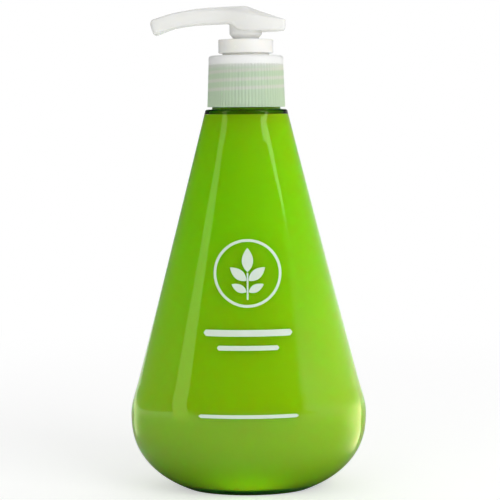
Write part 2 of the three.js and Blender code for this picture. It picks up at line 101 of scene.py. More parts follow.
def mesh_object(name: str, points: Sequence[Sequence[float]], faces: Sequence[Sequence[int]]) -> bpy.types.Object:
    """Makes an object at the origin from points in millimetres.

    Args:
        name: Name of the piece.
        points: Corners in millimetres.
        faces: Corner numbers of each face, facing out.

    Returns:
        The new object, shaded smooth with sharp edges kept.
    """
    mesh = bpy.data.meshes.new(name)
    mesh.from_pydata([[metres(c) for c in p] for p in points], [], faces)
    mesh.validate()
    return shown(name, mesh)


def shown(name: str, mesh: bpy.types.Mesh) -> bpy.types.Object:
    """Puts a mesh in the scene as a smooth-shaded object.

    Args:
        name: Name of the piece.
        mesh: Its mesh, in metres.

    Returns:
        The new object.
    """
    mesh.polygons.foreach_set("use_smooth", [True] * len(mesh.polygons))
    mesh.set_sharp_from_angle(angle=math.radians(38))
    made = bpy.data.objects.new(name, mesh)
    bpy.context.scene.collection.objects.link(made)
    return made


def softened(profile: Profile, radius: float, closed: bool, steps: int = 3) -> Profile:
    """Rounds the corners of a profile, as a moulded edge is.

    Args:
        profile: Points of the outline.
        radius: Reach of each round along its two edges.
        closed: Whether the last point joins the first.
        steps: Pieces in each round.

    Returns:
        The outline with a short arc in place of each corner.
    """
    count = len(profile)
    out: Profile = []
    for i, (x, z) in enumerate(profile):
        if not closed and i in (0, count - 1):
            out.append((x, z))
            continue
        here = Vector((x, z))
        before = Vector(profile[i - 1]) - here
        after = Vector(profile[(i + 1) % count]) - here
        reach = min(radius, 0.42 * before.length, 0.42 * after.length)
        start, end = here + before.normalized() * reach, here + after.normalized() * reach
        for k in range(steps + 1):
            t = k / steps
            p = start * (1 - t) ** 2 + here * 2 * t * (1 - t) + end * t * t
            out.append((p.x, p.y))
    return out


def spun(name: str, rings: Sequence[Ring], sides: int, closed: bool) -> bpy.types.Object:
    """Skins a solid over oval rings about the Z axis.

    Args:
        name: Name of the piece.
        rings: Rings in the order that keeps the solid on the left of an upward outer wall.
        sides: Faces round each ring.
        closed: Whether the last ring joins the first.

    Returns:
        The object, with one vertex where a ring closes on the axis.
    """
    points: List[Tuple[float, float, float]] = []
    rows: List[List[int]] = []
    for ring in rings:
        if ring.wide < 1e-6:
            rows.append([len(points)] * sides)
            points.append((0.0, 0.0, ring.height))
            continue
        rows.append(list(range(len(points), len(points) + sides)))
        for k in range(sides):
            angle = 2 * math.pi * k / sides
            points.append((ring.wide * math.cos(angle), ring.deep * math.sin(angle), ring.height))
    faces: List[List[int]] = []
    pairs = list(zip(rows, rows[1:] + rows[:1])) if closed else list(zip(rows, rows[1:]))
    for low, high in pairs:
        for k in range(sides):
            n = (k + 1) % sides
            corners = [low[k], low[n], high[n], high[k]]
            kept = [c for j, c in enumerate(corners) if c != corners[j - 1]]
            if len(kept) > 2:
                faces.append(kept)
    return mesh_object(name, points, faces)


def turned(name: str, profile: Profile, radius: float = 0.15, sides: int = 96) -> bpy.types.Object:
    """Turns a profile about the Z axis with its corners rounded.

    Args:
        name: Name of the piece.
        profile: Radius and height of each corner. One that starts off the axis is closed on itself.
        radius: Round of the corners.
        sides: Faces round the piece.

    Returns:
        The turned object.
    """
    closed = profile[0][0] > 0
    line = softened(profile, radius, closed)
    return spun(name, [Ring(r, r, z) for r, z in line], sides, closed)


def lofted(name: str, sections: Sequence[Sequence[Vector]]) -> bpy.types.Object:
    """Skins a solid over closed sections of equal count, with a flat fan over each end.

    Args:
        name: Name of the piece.
        sections: Rings of points in millimetres.

    Returns:
        The lofted object.
    """
    count = len(sections[0])
    points = [p for section in sections for p in section]
    points += [sum(section, Vector()) / count for section in (sections[0], sections[-1])]
    first, last = len(points) - 2, (len(sections) - 1) * count
    faces: List[List[int]] = []
    for j in range(count):
        k = (j + 1) % count
        for i in range(0, last, count):
            faces.append([i + j, i + k, i + count + k, i + count + j])
        faces.append([first, k, j])
        faces.append([first + 1, last + j, last + k])
    return mesh_object(name, points, faces)


def smooth(t: float, a: float, b: float, c: float, d: float) -> float:
    """Value at t between b and c, on the smooth curve through a, b, c and d."""
    v, w = (c - a) / 2, (d - b) / 2
    return (2 * b - 2 * c + v + w) * t**3 + (-3 * b + 3 * c - 2 * v - w) * t**2 + v * t + b


def plain_mesh(source: bpy.types.Object, name: str) -> bpy.types.Object:
    """Turns an object with its modifiers into a plain mesh object, and removes the source.

    Args:
        source: Object with live modifiers.
        name: Name of the new piece.

    Returns:
        The new object, with no modifier.
    """
    bpy.context.view_layer.update()
    ready = source.evaluated_get(bpy.context.evaluated_depsgraph_get())
    mesh = bpy.data.meshes.new_from_object(ready)
    bpy.data.objects.remove(source)
    mesh.name = name
    return shown(name, mesh)


class Cut(Enum):
    """Ways to combine two solids."""

    JOIN = "UNION"
    TAKE_AWAY = "DIFFERENCE"


def combined(base: bpy.types.Object, tool: bpy.types.Object, way: Cut) -> bpy.types.Object:
    """Joins two solids, or cuts one from the other.

    Args:
        base: Solid that stays.
        tool: Solid that is used up.
        way: Join or take away.

    Returns:
        The result, under the base's name.
    """
    name = base.name
    base.name = name + ".base"
    step = base.modifiers.new("combine", "BOOLEAN")
    step.operation = way.value
    step.solver = "EXACT"
    step.object = tool
    made = plain_mesh(base, name)
    bpy.data.objects.remove(tool)
    return made


# ---------------------------------------------------------------- nodes


def add_node(tree: bpy.types.NodeTree, kind: str, settings: Optional[dict] = None, **sockets: Any) -> bpy.types.Node:
    """Adds one node with its settings and links.

    Args:
        tree: Tree that gets the node.
        kind: Blender's name for the node.
        settings: Properties of the node itself.
        **sockets: Inputs by name, with spaces as underscores, or i0, i1 and so on by place. A value is set, and an
            output socket or a node is linked.

    Returns:
        The new node.
    """
    node = tree.nodes.new(kind)
    for key, value in (settings or {}).items():
        setattr(node, key, value)
    for key, value in sockets.items():
        place = key[1:]
        socket = node.inputs[int(place)] if key[0] == "i" and place.isdigit() else node.inputs[key.replace("_", " ")]
        if isinstance(value, bpy.types.Node):
            value = next(s for s in value.outputs if s.enabled)
        if isinstance(value, bpy.types.NodeSocket):
            tree.links.new(value, socket)
        else:
            socket.default_value = value
    return node


def geometry_tree(name: str, inputs: Sequence[Tuple[str, str, Any]]) -> bpy.types.NodeTree:
    """Starts a geometry node tree with named inputs and one geometry output.

    Args:
        name: Name of the tree.
        inputs: Name, socket type and default of each input.

    Returns:
        The tree with its group input and output nodes.
    """
    tree = bpy.data.node_groups.new(name, "GeometryNodeTree")
    for label, kind, default in inputs:
        socket = tree.interface.new_socket(label, in_out="INPUT", socket_type=kind)
        if default is not None:
            socket.default_value = default
    tree.interface.new_socket("Geometry", in_out="OUTPUT", socket_type="NodeSocketGeometry")
    return tree


def grown(name: str, base: bpy.types.Object, tree: bpy.types.NodeTree, **values: Any) -> bpy.types.Object:
    """Runs a geometry node tree on an object and keeps the plain mesh.

    Args:
        name: Name of the piece.
        base: Object that the tree starts from, which is used up.
        tree: The tree.
        **values: Inputs by name, with spaces as underscores.

    Returns:
        The finished piece.
    """
    step = base.modifiers.new("grow", "NODES")
    step.node_group = tree
    places = {i.name: i.identifier for i in tree.interface.items_tree if i.in_out == "INPUT"}
    for key, value in values.items():
        step[places[key.replace("_", " ")]] = value
    return plain_mesh(base, name)


# ---------------------------------------------------------------- finishes


@dataclass(frozen=True)
class Plastic:
    """A moulded plastic, with the faint mottling and fine skin that a mould leaves.

    Attributes:
        name: What it is and how it was made.
        colour: sRGB hex of the plastic.
        shade: sRGB hex that it drifts towards in patches.
        roughness: Roughness of the skin.
        ior: Index of refraction.
        subsurface: Share of light that goes in and scatters.
        reach: Millimetres that red, green and blue light travel inside.
        transmission: Share of light that passes through.
        absorbed: sRGB hex of the tint that deepens with the way through the plastic, or nothing.
        density: Strength of that tint, for each metre.
        patch: Millimetres across one patch of drift.
        grain: Millimetres between the bumps of the skin.
        depth: Millimetres of relief of the skin.
        painted_low_colour: sRGB hex of painted light that the colour turns to lower down, or nothing.
        painted_low_span: Heights in millimetres between which it turns.
    """

    name: str
    colour: str
    shade: str
    roughness: float
    ior: float = 1.49
    subsurface: float = 0.0
    reach: Tuple[float, float, float] = (1.0, 1.0, 1.0)
    transmission: float = 0.0
    absorbed: str = ""
    density: float = 0.0
    patch: float = 14.0
    grain: float = 0.6
    depth: float = 0.006
    painted_low_colour: str = ""
    painted_low_span: Tuple[float, float] = (0.0, 0.0)

    def blended(self, tree: bpy.types.NodeTree, share: Any, first: Any, second: Any) -> bpy.types.NodeSocket:
        """Mixes two colours, each a socket or an sRGB hex.

        Args:
            tree: The material's tree.
            share: Share of the second colour.
            first: First colour.
            second: Second colour.

        Returns:
            The mixed colour.
        """
        mixed = add_node(tree, "ShaderNodeMix", {"data_type": "RGBA"}, i0=share)
        for place, colour in ((6, first), (7, second)):
            if isinstance(colour, str):
                mixed.inputs[place].default_value = linear(colour)
            else:
                tree.links.new(colour, mixed.inputs[place])
        return mixed.outputs[2]

    def tint(self, tree: bpy.types.NodeTree, place: bpy.types.NodeSocket, patches: bpy.types.Node) -> Any:
        """Colours the plastic in patches, and by height where it has a painted light colour lower down.

        Args:
            tree: The material's tree.
            place: Object coordinates.
            patches: Noise of the patches.

        Returns:
            The colour's socket.
        """
        colour = self.blended(tree, patches.outputs["Fac"], self.colour, self.shade)
        if not self.painted_low_colour:
            return colour
        # Painted light: lower down the colour turns to a second one that stands in for light, not the plastic's own
        # colour.
        height = add_node(tree, "ShaderNodeSeparateXYZ", Vector=place).outputs["Z"]
        share = add_node(
            tree,
            "ShaderNodeMapRange",
            {"interpolation_type": "SMOOTHSTEP"},
            Value=height,
            From_Min=metres(self.painted_low_span[1]),
            From_Max=metres(self.painted_low_span[0]),
        )
        return self.blended(tree, share.outputs[0], colour, self.painted_low_colour)

    def clarity(self, tree: bpy.types.NodeTree, place: bpy.types.NodeSocket) -> Any:
        """Share of light that passes through, as a number or a socket."""
        return self.transmission

    def build(self) -> bpy.types.Material:
        """Makes the material.

        Returns:
            The material, on Object coordinates.
        """
        made = bpy.data.materials.new(self.name)
        made.use_nodes = True
        tree = made.node_tree
        tree.nodes.clear()
        place = add_node(tree, "ShaderNodeTexCoord").outputs["Object"]
        patches = add_node(tree, "ShaderNodeTexNoise", Vector=place, Scale=1000 / self.patch, Detail=2.0)
        skin = add_node(tree, "ShaderNodeTexNoise", Vector=place, Scale=1000 / self.grain, Detail=3.0)
        bump = add_node(
            tree, "ShaderNodeBump", Strength=0.6, Distance=metres(self.depth), Height=skin.outputs["Fac"]
        )
        wear = add_node(
            tree,
            "ShaderNodeMapRange",
            Value=patches.outputs["Fac"],
            To_Min=self.roughness * 0.9,
            To_Max=self.roughness * 1.12,
        )
        shader = add_node(
            tree,
            "ShaderNodeBsdfPrincipled",
            Base_Color=self.tint(tree, place, patches),
            Roughness=wear,
            IOR=self.ior,
            Subsurface_Weight=self.subsurface,
            Subsurface_Radius=self.reach,
            Subsurface_Scale=metres(1),
            Transmission_Weight=self.clarity(tree, place),
            Normal=bump,
        )
        out = add_node(tree, "ShaderNodeOutputMaterial", Surface=shader.outputs[0])
        if self.absorbed:
            depth = add_node(
                tree, "ShaderNodeVolumeAbsorption", Color=linear(self.absorbed), Density=self.density
            )
            tree.links.new(depth.outputs[0], out.inputs["Volume"])
        return made


@dataclass(frozen=True)
class ThreadedPlastic(Plastic):
    """A frosted plastic skirt with pale slanted bands painted on where its inner thread shows through it.

    Attributes:
        painted_thread_band: sRGB hex of the painted see-through bands.
        pitch: Millimetres from band to band.
        threaded: Lowest and highest height of the thread, in millimetres.
        thick: Heights between which the skirt turns to the thick top, which lets little light through.
    """

    painted_thread_band: str = "#ffffff"
    pitch: float = 3.0
    threaded: Tuple[float, float] = (0.0, 0.0)
    thick: Tuple[float, float] = (0.0, 0.0)

    def clarity(self, tree: bpy.types.NodeTree, place: bpy.types.NodeSocket) -> Any:
        """Lets less light through the thick top than through the skirt.

        Args:
            tree: The material's tree.
            place: Object coordinates.

        Returns:
            The share's socket.
        """
        height = add_node(tree, "ShaderNodeSeparateXYZ", Vector=place).outputs["Z"]
        share = add_node(
            tree,
            "ShaderNodeMapRange",
            {"interpolation_type": "SMOOTHSTEP"},
            Value=height,
            From_Min=metres(self.thick[0]),
            From_Max=metres(self.thick[1]),
            To_Min=self.transmission,
            To_Max=0.08,
        )
        return share.outputs[0]

    def tint(self, tree: bpy.types.NodeTree, place: bpy.types.NodeSocket, patches: bpy.types.Node) -> Any:
        """Paints pale see-through bands of a right-handed thread over the plastic's colour.

        Args:
            tree: The material's tree.
            place: Object coordinates.
            patches: Noise of the patches.

        Returns:
            The colour's socket.
        """
        colour = super().tint(tree, place, patches)
        # Painted see-through: pale bands where the inner thread would show through the skirt.
        parts = add_node(tree, "ShaderNodeSeparateXYZ", Vector=place)
        angle = add_node(tree, "ShaderNodeMath", {"operation": "ARCTAN2"}, i0=parts.outputs["Y"], i1=parts.outputs["X"])
        rise = add_node(
            tree,
            "ShaderNodeMath",
            {"operation": "MULTIPLY"},
            i0=parts.outputs["Z"],
            i1=2 * math.pi / metres(self.pitch),
        )
        phase = add_node(tree, "ShaderNodeMath", {"operation": "SUBTRACT"}, i0=rise, i1=angle)
        wave = add_node(tree, "ShaderNodeMath", {"operation": "COSINE"}, i0=phase)
        share = add_node(
            tree, "ShaderNodeMapRange", {"interpolation_type": "SMOOTHSTEP"}, Value=wave, From_Min=-0.4, From_Max=1.2
        )
        fade = 1.5
        for edge, away in zip(self.threaded, (fade, -fade)):
            inside = add_node(
                tree,
                "ShaderNodeMapRange",
                {"interpolation_type": "SMOOTHSTEP"},
                Value=parts.outputs["Z"],
                From_Min=metres(edge),
                From_Max=metres(edge + away),
            )
            share = add_node(tree, "ShaderNodeMath", {"operation": "MULTIPLY"}, i0=share, i1=inside)
        return self.blended(tree, share.outputs[0], colour, self.painted_thread_band)


@dataclass(frozen=True)
class Steel:
    """Drawn or polished steel.

    Attributes:
        name: What it is and how it was made.
        colour: sRGB hex of the metal.
        roughness: Roughness of the skin.
        grain: Millimetres between the draw marks.
    """

    name: str
    colour: str
    roughness: float
    grain: float = 0.25

    def build(self) -> bpy.types.Material:
        """Makes the material.

        Returns:
            The material, on Object coordinates.
        """
        made = bpy.data.materials.new(self.name)
        made.use_nodes = True
        tree = made.node_tree
        tree.nodes.clear()
        place = add_node(tree, "ShaderNodeTexCoord").outputs["Object"]
        marks = add_node(tree, "ShaderNodeTexNoise", Vector=place, Scale=1000 / self.grain, Detail=2.0)
        rough = add_node(
            tree,
            "ShaderNodeMapRange",
            Value=marks.outputs["Fac"],
            To_Min=self.roughness * 0.7,
            To_Max=self.roughness * 1.3,
        )
        shader = add_node(
            tree, "ShaderNodeBsdfPrincipled", Base_Color=linear(self.colour), Metallic=1.0, Roughness=rough
        )
        add_node(tree, "ShaderNodeOutputMaterial", Surface=shader.outputs[0])
        return made


# Blow-moulded PET tinted green: a clear, hard, glossy wall that keeps mirror-sharp strips of light.
BOTTLE_WALL = Plastic(
    "blow_moulded_tinted_pet",
    "#fafdf2",
    "#f7fbec",
    0.03,
    ior=1.5,
    transmission=1.0,
    absorbed="#c8f032",
    density=420.0,
    patch=40,
    grain=18,
    depth=0.01,
)
# Toothpaste gel: cloudy, so light goes in some millimetres and comes back as an even, saturated green. Lower down the
# green turns yellower, a painted warm highlight.
GEL = Plastic(
    "cloudy_green_gel",
    "#b9f400",
    "#b2ee00",
    0.7,
    ior=1.34,
    subsurface=1.0,
    reach=(6.0, 20.0, 2.0),
    patch=30,
    depth=0.0,
    painted_low_colour="#d0ee00",
    painted_low_span=(20.0, 110.0),
)
# Uncoloured polypropylene with an etched mould skin: frosted, with soft pale bands painted where the inner thread shows
# through.
# The green of the neck behind it is painted onto the skirt as a see-through tint, more lower down, where less white
# lies between them.
COLLAR_PLASTIC = ThreadedPlastic(
    "frosted_natural_polypropylene",
    "#ffffff",
    "#fbfdfa",
    0.34,
    transmission=0.44,
    patch=9,
    grain=0.35,
    depth=0.01,
    painted_low_colour="#e0f5da",
    painted_low_span=(145.6, 149.2),
    painted_thread_band="#f6fbf0",
    threaded=(138.2, 148.6),
    thick=(147.9, 148.9),
)
# The collar's thread is thicker, so it scatters more and shows as pale bands.
COLLAR_THREAD = Plastic("thick_natural_polypropylene", "#f6f9f2", "#eef4ea", 0.4, subsurface=0.5, patch=6)
# White polypropylene, polished mould: a warm satin white with a slight glow at thin edges.
RING_PLASTIC = Plastic(
    "warm_white_polypropylene", "#fbfaf5", "#f7f5ee", 0.26, subsurface=0.6, reach=(1.8, 1.6, 1.3), patch=8
)
# Milky polypropylene: cooler and more translucent than the ring, satin.
HEAD_PLASTIC = Plastic(
    "milky_polypropylene", "#f6f6f2", "#f0f0ec", 0.26, subsurface=0.8, reach=(4.0, 3.9, 3.5), patch=10
)
# Natural polyethylene and polypropylene of the pump's inside: waxy and half clear.
INNER_PLASTIC = Plastic(
    "natural_polyethylene", "#eceee8", "#e3e6df", 0.42, subsurface=0.6, reach=(2.0, 2.0, 1.8), patch=7
)
# Soft polyethylene seals: matt and a little grey.
SEAL_PLASTIC = Plastic("soft_polyethylene_seal", "#d2d5d1", "#c6cac6", 0.6, subsurface=0.3, patch=5, depth=0.01)
# Screen ink: a pale, slightly uneven film that lies on the bottle.
INK = Plastic("pale_screen_ink", "#dfeadf", "#d3e4d0", 0.32, patch=4, grain=0.4, depth=0.008)
# Drawn stainless spring wire: bright with fine draw marks.
SPRING_STEEL = Steel("drawn_spring_wire", "#c3c6ca", 0.3)
# Polished stainless ball.
BALL_STEEL = Steel("polished_ball_steel", "#cfd2d6", 0.1, grain=0.8)


def dressed(piece: bpy.types.Object, finish: bpy.types.Material, body: str, slot: str, *nodes: str) -> bpy.types.Object:
    """Gives a piece its finish and its body, and hides the CAD nodes that it stands for.

    Args:
        piece: The piece, in place.
        finish: Its material.
        body: CAD body that it rides on.
        slot: Material slot of the record; not used.
        *nodes: CAD nodes that it replaces.

    Returns:
        The same piece.
    """
    piece.data.materials.clear()
    piece.data.materials.append(finish)
    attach(piece, body)
    if nodes:
        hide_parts(*nodes)
    log.info("%s rides on %s: %d faces", piece.name, body, len(piece.data.polygons))
    return piece


# ---------------------------------------------------------------- threads


def thread_tree() -> bpy.types.NodeTree:
    """Builds the tree that winds a thread ridge about Z.

    Returns:
        The tree, with the thread's sizes as inputs.
    """
    tree = geometry_tree(
        "thread_ridge",
        [
            ("Geometry", "NodeSocketGeometry", None),
            ("Radius", "NodeSocketFloat", metres(11)),
            ("Pitch", "NodeSocketFloat", metres(3)),
            ("Turns", "NodeSocketFloat", 1.5),
            ("Foot", "NodeSocketFloat", 0.0),
            ("Ridge", "NodeSocketFloat", metres(0.6)),
            ("Finish", "NodeSocketMaterial", None),
        ],
    )
    given = tree.nodes.new("NodeGroupInput")
    height = add_node(tree, "ShaderNodeMath", {"operation": "MULTIPLY"}, i0=given.outputs["Pitch"])
    tree.links.new(given.outputs["Turns"], height.inputs[1])
    spiral = add_node(
        tree,
        "GeometryNodeCurveSpiral",
        Reverse=True,
        Resolution=96,
        Rotations=given.outputs["Turns"],
        Start_Radius=given.outputs["Radius"],
        End_Radius=given.outputs["Radius"],
        Height=height,
    )
    # The ridge fades in and out over the thread's ends.
    share = add_node(tree, "GeometryNodeSplineParameter")
    away = add_node(tree, "ShaderNodeMath", {"operation": "SUBTRACT"}, i0=share.outputs["Factor"], i1=0.5)
    size = add_node(tree, "ShaderNodeMath", {"operation": "ABSOLUTE"}, i0=away)
    taper = add_node(
        tree,
        "ShaderNodeMapRange",
        {"interpolation_type": "SMOOTHSTEP"},
        Value=size,
        From_Min=0.44,
        From_Max=0.5,
        To_Min=1.0,
        To_Max=0.25,
    )
    sized = add_node(tree, "GeometryNodeSetCurveRadius", Curve=spiral, Radius=taper)
    ridge = add_node(tree, "GeometryNodeCurvePrimitiveCircle", Resolution=10, Radius=given.outputs["Ridge"])
    wound = add_node(
        tree, "GeometryNodeCurveToMesh", Curve=sized, Profile_Curve=ridge.outputs["Curve"], Fill_Caps=True
    )
    if "Scale" in wound.inputs:
        tree.links.new(taper.outputs["Result"], wound.inputs["Scale"])
    lift = add_node(tree, "ShaderNodeCombineXYZ", Z=given.outputs["Foot"])
    raised = add_node(tree, "GeometryNodeTransform", Geometry=wound, Translation=lift)
    real = add_node(tree, "GeometryNodeRealizeInstances", Geometry=raised)
    painted = add_node(tree, "GeometryNodeSetMaterial", Geometry=real, Material=given.outputs["Finish"])
    add_node(tree, "NodeGroupOutput", Geometry=painted)
    return tree


def rib_tree() -> bpy.types.NodeTree:
    """Builds the tree that presses upright ribs into the outside of a turned skirt.

    Returns:
        The tree, with the ribs' sizes as inputs.
    """
    tree = geometry_tree(
        "skirt_ribs",
        [
            ("Geometry", "NodeSocketGeometry", None),
            ("Ribs", "NodeSocketInt", 72),
            ("Depth", "NodeSocketFloat", metres(0.35)),
            ("Top", "NodeSocketFloat", 0.1),
            ("Inside", "NodeSocketFloat", metres(12.4)),
            ("Finish", "NodeSocketMaterial", None),
        ],
    )
    given = tree.nodes.new("NodeGroupInput")
    place = add_node(tree, "GeometryNodeInputPosition")
    parts = add_node(tree, "ShaderNodeSeparateXYZ", Vector=place)
    angle = add_node(tree, "ShaderNodeMath", {"operation": "ARCTAN2"}, i0=parts.outputs["Y"], i1=parts.outputs["X"])
    turns = add_node(tree, "ShaderNodeMath", {"operation": "MULTIPLY"}, i0=angle, i1=given.outputs["Ribs"])
    wave = add_node(tree, "ShaderNodeMath", {"operation": "COSINE"}, i0=turns)
    # Full depth in the valley, none on a crest that is two fifths of the pitch wide.
    valley = add_node(
        tree,
        "ShaderNodeMapRange",
        {"interpolation_type": "SMOOTHSTEP"},
        Value=wave,
        From_Min=-0.75,
        From_Max=0.4,
        To_Min=1.0,
        To_Max=0.0,
    )
    flat = add_node(tree, "ShaderNodeCombineXYZ", X=parts.outputs["X"], Y=parts.outputs["Y"])
    radius = add_node(tree, "ShaderNodeVectorMath", {"operation": "LENGTH"}, i0=flat)
    outer = add_node(
        tree, "ShaderNodeMath", {"operation": "GREATER_THAN"}, i0=radius.outputs["Value"], i1=given.outputs["Inside"]
    )
    below = add_node(
        tree, "ShaderNodeMath", {"operation": "LESS_THAN"}, i0=parts.outputs["Z"], i1=given.outputs["Top"]
    )
    both = add_node(tree, "ShaderNodeMath", {"operation": "MULTIPLY"}, i0=outer, i1=below)
    masked = add_node(tree, "ShaderNodeMath", {"operation": "MULTIPLY"}, i0=valley, i1=both)
    deep = add_node(tree, "ShaderNodeMath", {"operation": "MULTIPLY"}, i0=masked, i1=given.outputs["Depth"])
    inward = add_node(tree, "ShaderNodeMath", {"operation": "MULTIPLY"}, i0=deep, i1=-1.0)
    along = add_node(tree, "ShaderNodeVectorMath", {"operation": "NORMALIZE"}, i0=flat)
    move = add_node(tree, "ShaderNodeVectorMath", {"operation": "SCALE"}, i0=along, Scale=inward)
    pressed = add_node(tree, "GeometryNodeSetPosition", Geometry=given.outputs["Geometry"], Offset=move)
    real = add_node(tree, "GeometryNodeRealizeInstances", Geometry=pressed)
    painted = add_node(tree, "GeometryNodeSetMaterial", Geometry=real, Material=given.outputs["Finish"])
    add_node(tree, "NodeGroupOutput", Geometry=painted)
    return tree


def seed_object(name: str) -> bpy.types.Object:
    """Makes an empty mesh object for a tree that needs no input shape."""
    return mesh_object(name, [], [])


# ---------------------------------------------------------------- bottle


@dataclass
class Bottle:
    """The oval bottle, its gel, its neck thread and the pale motif on its front."""

    belly_half_width: float = 41.4
    belly_height: float = 26.5
    heel_depth: float = 30.3
    heel_power: float = 2.41
    cone_start: float = 38.0
    cone_slope_low: float = 0.266
    cone_slope_high: float = 0.253
    shoulder_half_width: float = 14.4
    shoulder_height: float = 133.0
    shoulder_round: float = 0.9
    belly_depth_ratio: float = 0.66
    shoulder_depth_ratio: float = 0.94
    wall: float = 0.8
    floor: float = 2.8  # thick clear base, which pipes light and looks dark at its edge
    foot_width: float = 2.6
    push_up: float = 3.0
    neck_base_radius: float = 11.9
    neck_base_height: float = 1.1
    neck_radius: float = 10.9
    neck_bore: float = 9.5
    neck_height: float = 14.3
    gel_overlap: float = 0.04  # into the wall, because the gel wets it
    gel_headspace: float = 2.0  # up to the mouth
    shoulder_air: float = 0.12  # film of air under the shoulder, which makes its edge look dark
    well_gap: float = 0.4
    sides: int = 160

    def half_width(self, height: float) -> float:
        """Half width of the outside at a height.

        Args:
            height: Height above the foot.

        Returns:
            Half width along X.
        """
        if height <= self.belly_height:
            share = (self.belly_height - height) / self.heel_depth
            return self.belly_half_width * math.sqrt(1 - share**self.heel_power)
        edge = self.shoulder_height - self.shoulder_round
        fall = edge - max(height, self.cone_start)
        flare = (self.cone_slope_low - self.cone_slope_high) / (2 * (edge - self.cone_start))
        cone = self.shoulder_half_width + self.cone_slope_high * fall + flare * fall * fall
        if height >= self.cone_start:
            return cone
        span = self.cone_start - self.belly_height
        t = (height - self.belly_height) / span
        drop, slope = self.belly_half_width - cone, self.cone_slope_low * span
        return self.belly_half_width - drop * t * t * (3 - 2 * t) + slope * t * t * (1 - t)

    def depth_ratio(self, height: float) -> float:
        """Depth over width at a height."""
        t = (height - self.belly_height) / (self.shoulder_height - self.belly_height)
        return self.belly_depth_ratio + (self.shoulder_depth_ratio - self.belly_depth_ratio) * min(max(t, 0.0), 1.0)

    def ring(self, height: float, inset: float) -> Ring:
        """Oval ring set in from the outside along the skin's normal.

        Args:
            height: Height above the foot.
            inset: Distance in from the outer skin.

        Returns:
            The ring.
        """
        step = 0.05
        low, high = max(height - step, 0.0), height + step
        run = high - low
        wide, narrow = self.half_width(low), self.half_width(high)
        deep, shallow = wide * self.depth_ratio(low), narrow * self.depth_ratio(high)
        here = self.half_width(height)
        return Ring(
            here - inset * math.hypot(1, (narrow - wide) / run),
            here * self.depth_ratio(height) - inset * math.hypot(1, (shallow - deep) / run),
            height,
        )

    def heights(self, low: float, high: float) -> List[float]:
        """Heights of the rings up the side, closer together round the heel and belly."""
        heel, belly, cone = 26, 12, 30
        rows = [low + (self.belly_height - low) * (i / heel) ** 1.7 for i in range(heel + 1)]
        rows += [self.belly_height + (self.cone_start - self.belly_height) * i / belly for i in range(1, belly + 1)]
        rows += [self.cone_start + (high - self.cone_start) * i / cone for i in range(1, cone + 1)]
        return rows

    def domed(self, rim: Ring, centre: float) -> List[Ring]:
        """Rings of the domed floor from the axis out to just inside its rim."""
        count = 14
        shares = [i / count for i in range(count)]
        return [Ring(rim.wide * t, rim.deep * t, centre + (rim.height - centre) * t * t) for t in shares]

    def shell(self) -> bpy.types.Object:
        """Builds the blow-moulded wall.

        Returns:
            One closed shell from the foot to the mouth.
        """
        foot = self.ring(0, 0)
        rim = Ring(foot.wide - self.foot_width, foot.deep - self.foot_width, 0)
        edge_height = self.shoulder_height - self.shoulder_round
        edge = self.ring(edge_height, 0)
        corner = []
        for k in range(1, 9):
            angle = math.pi / 2 * k / 8
            inward = self.shoulder_round * (1 - math.cos(angle))
            height = edge_height + self.shoulder_round * math.sin(angle)
            corner.append(Ring(edge.wide - inward, edge.deep - inward, height))
        mouth = self.shoulder_height + self.neck_height
        base_top = self.shoulder_height + self.neck_base_height
        neck_line = softened(
            [
                (self.neck_base_radius + 1.2, self.shoulder_height),
                (self.neck_base_radius, self.shoulder_height),
                (self.neck_base_radius, base_top),
                (self.neck_radius, base_top + self.neck_base_radius - self.neck_radius),
                (self.neck_radius, mouth),
                (self.neck_bore, mouth),
                (self.neck_bore, self.shoulder_height - self.wall),
            ],
            0.35,
            False,
        )
        neck = [Ring(r, r, z) for r, z in neck_line]
        inside = [self.ring(h, self.wall) for h in self.heights(self.floor, edge_height - self.wall)]
        rings = [
            *self.domed(rim, self.push_up),
            rim,
            *[self.ring(h, 0) for h in self.heights(0, edge_height)],
            *corner,
            *neck,
            *reversed(inside),
            *reversed(self.domed(inside[0], self.push_up + self.wall)),
        ]
        return spun("bottle_wall", rings, self.sides, False)

    def gel(self) -> bpy.types.Object:
        """Builds the gel, with the well where the pump stands.

        Returns:
            One closed solid.
        """
        inset = self.wall - self.gel_overlap
        top = self.shoulder_height + self.neck_height - self.gel_headspace
        shoulder = self.shoulder_height - self.wall - self.shoulder_air
        side = [
            self.ring(h, inset) for h in self.heights(self.floor - self.gel_overlap, shoulder - self.shoulder_round)
        ]
        edge = self.ring(shoulder - self.shoulder_round, inset + self.shoulder_air)
        neck = self.neck_bore + self.gel_overlap
        gap = self.well_gap
        well = [
            (7.6 + gap, top),
            (7.6 + gap, 101.1 - gap),
            (4.35 + gap, 96.5 - gap),
            (4.35 + gap, 89.5 - gap),
            (3.0 + gap, 89.5 - gap),
            (3.0 + gap, 6.8 - gap),
            (0.0, 6.8 - gap),
        ]
        rings = [
            *self.domed(side[0], self.push_up + self.wall - self.gel_overlap),
            *side,
            edge,
            Ring(neck, neck, shoulder),
            Ring(neck, neck, top),
            *[Ring(r, r, z) for r, z in well],
        ]
        return spun("gel_fill", rings, self.sides, False)

    def front(self, x: float, z: float, proud: float) -> Vector:
        """Point on the front skin.

        Args:
            x: Place across the front.
            z: Height.
            proud: Distance in front of the skin.

        Returns:
            The point, in millimetres.
        """
        wide = self.half_width(z)
        deep = wide * self.depth_ratio(z)
        return Vector((x, -deep * math.sqrt(max(0.0, 1 - (x / wide) ** 2)) - proud, z))

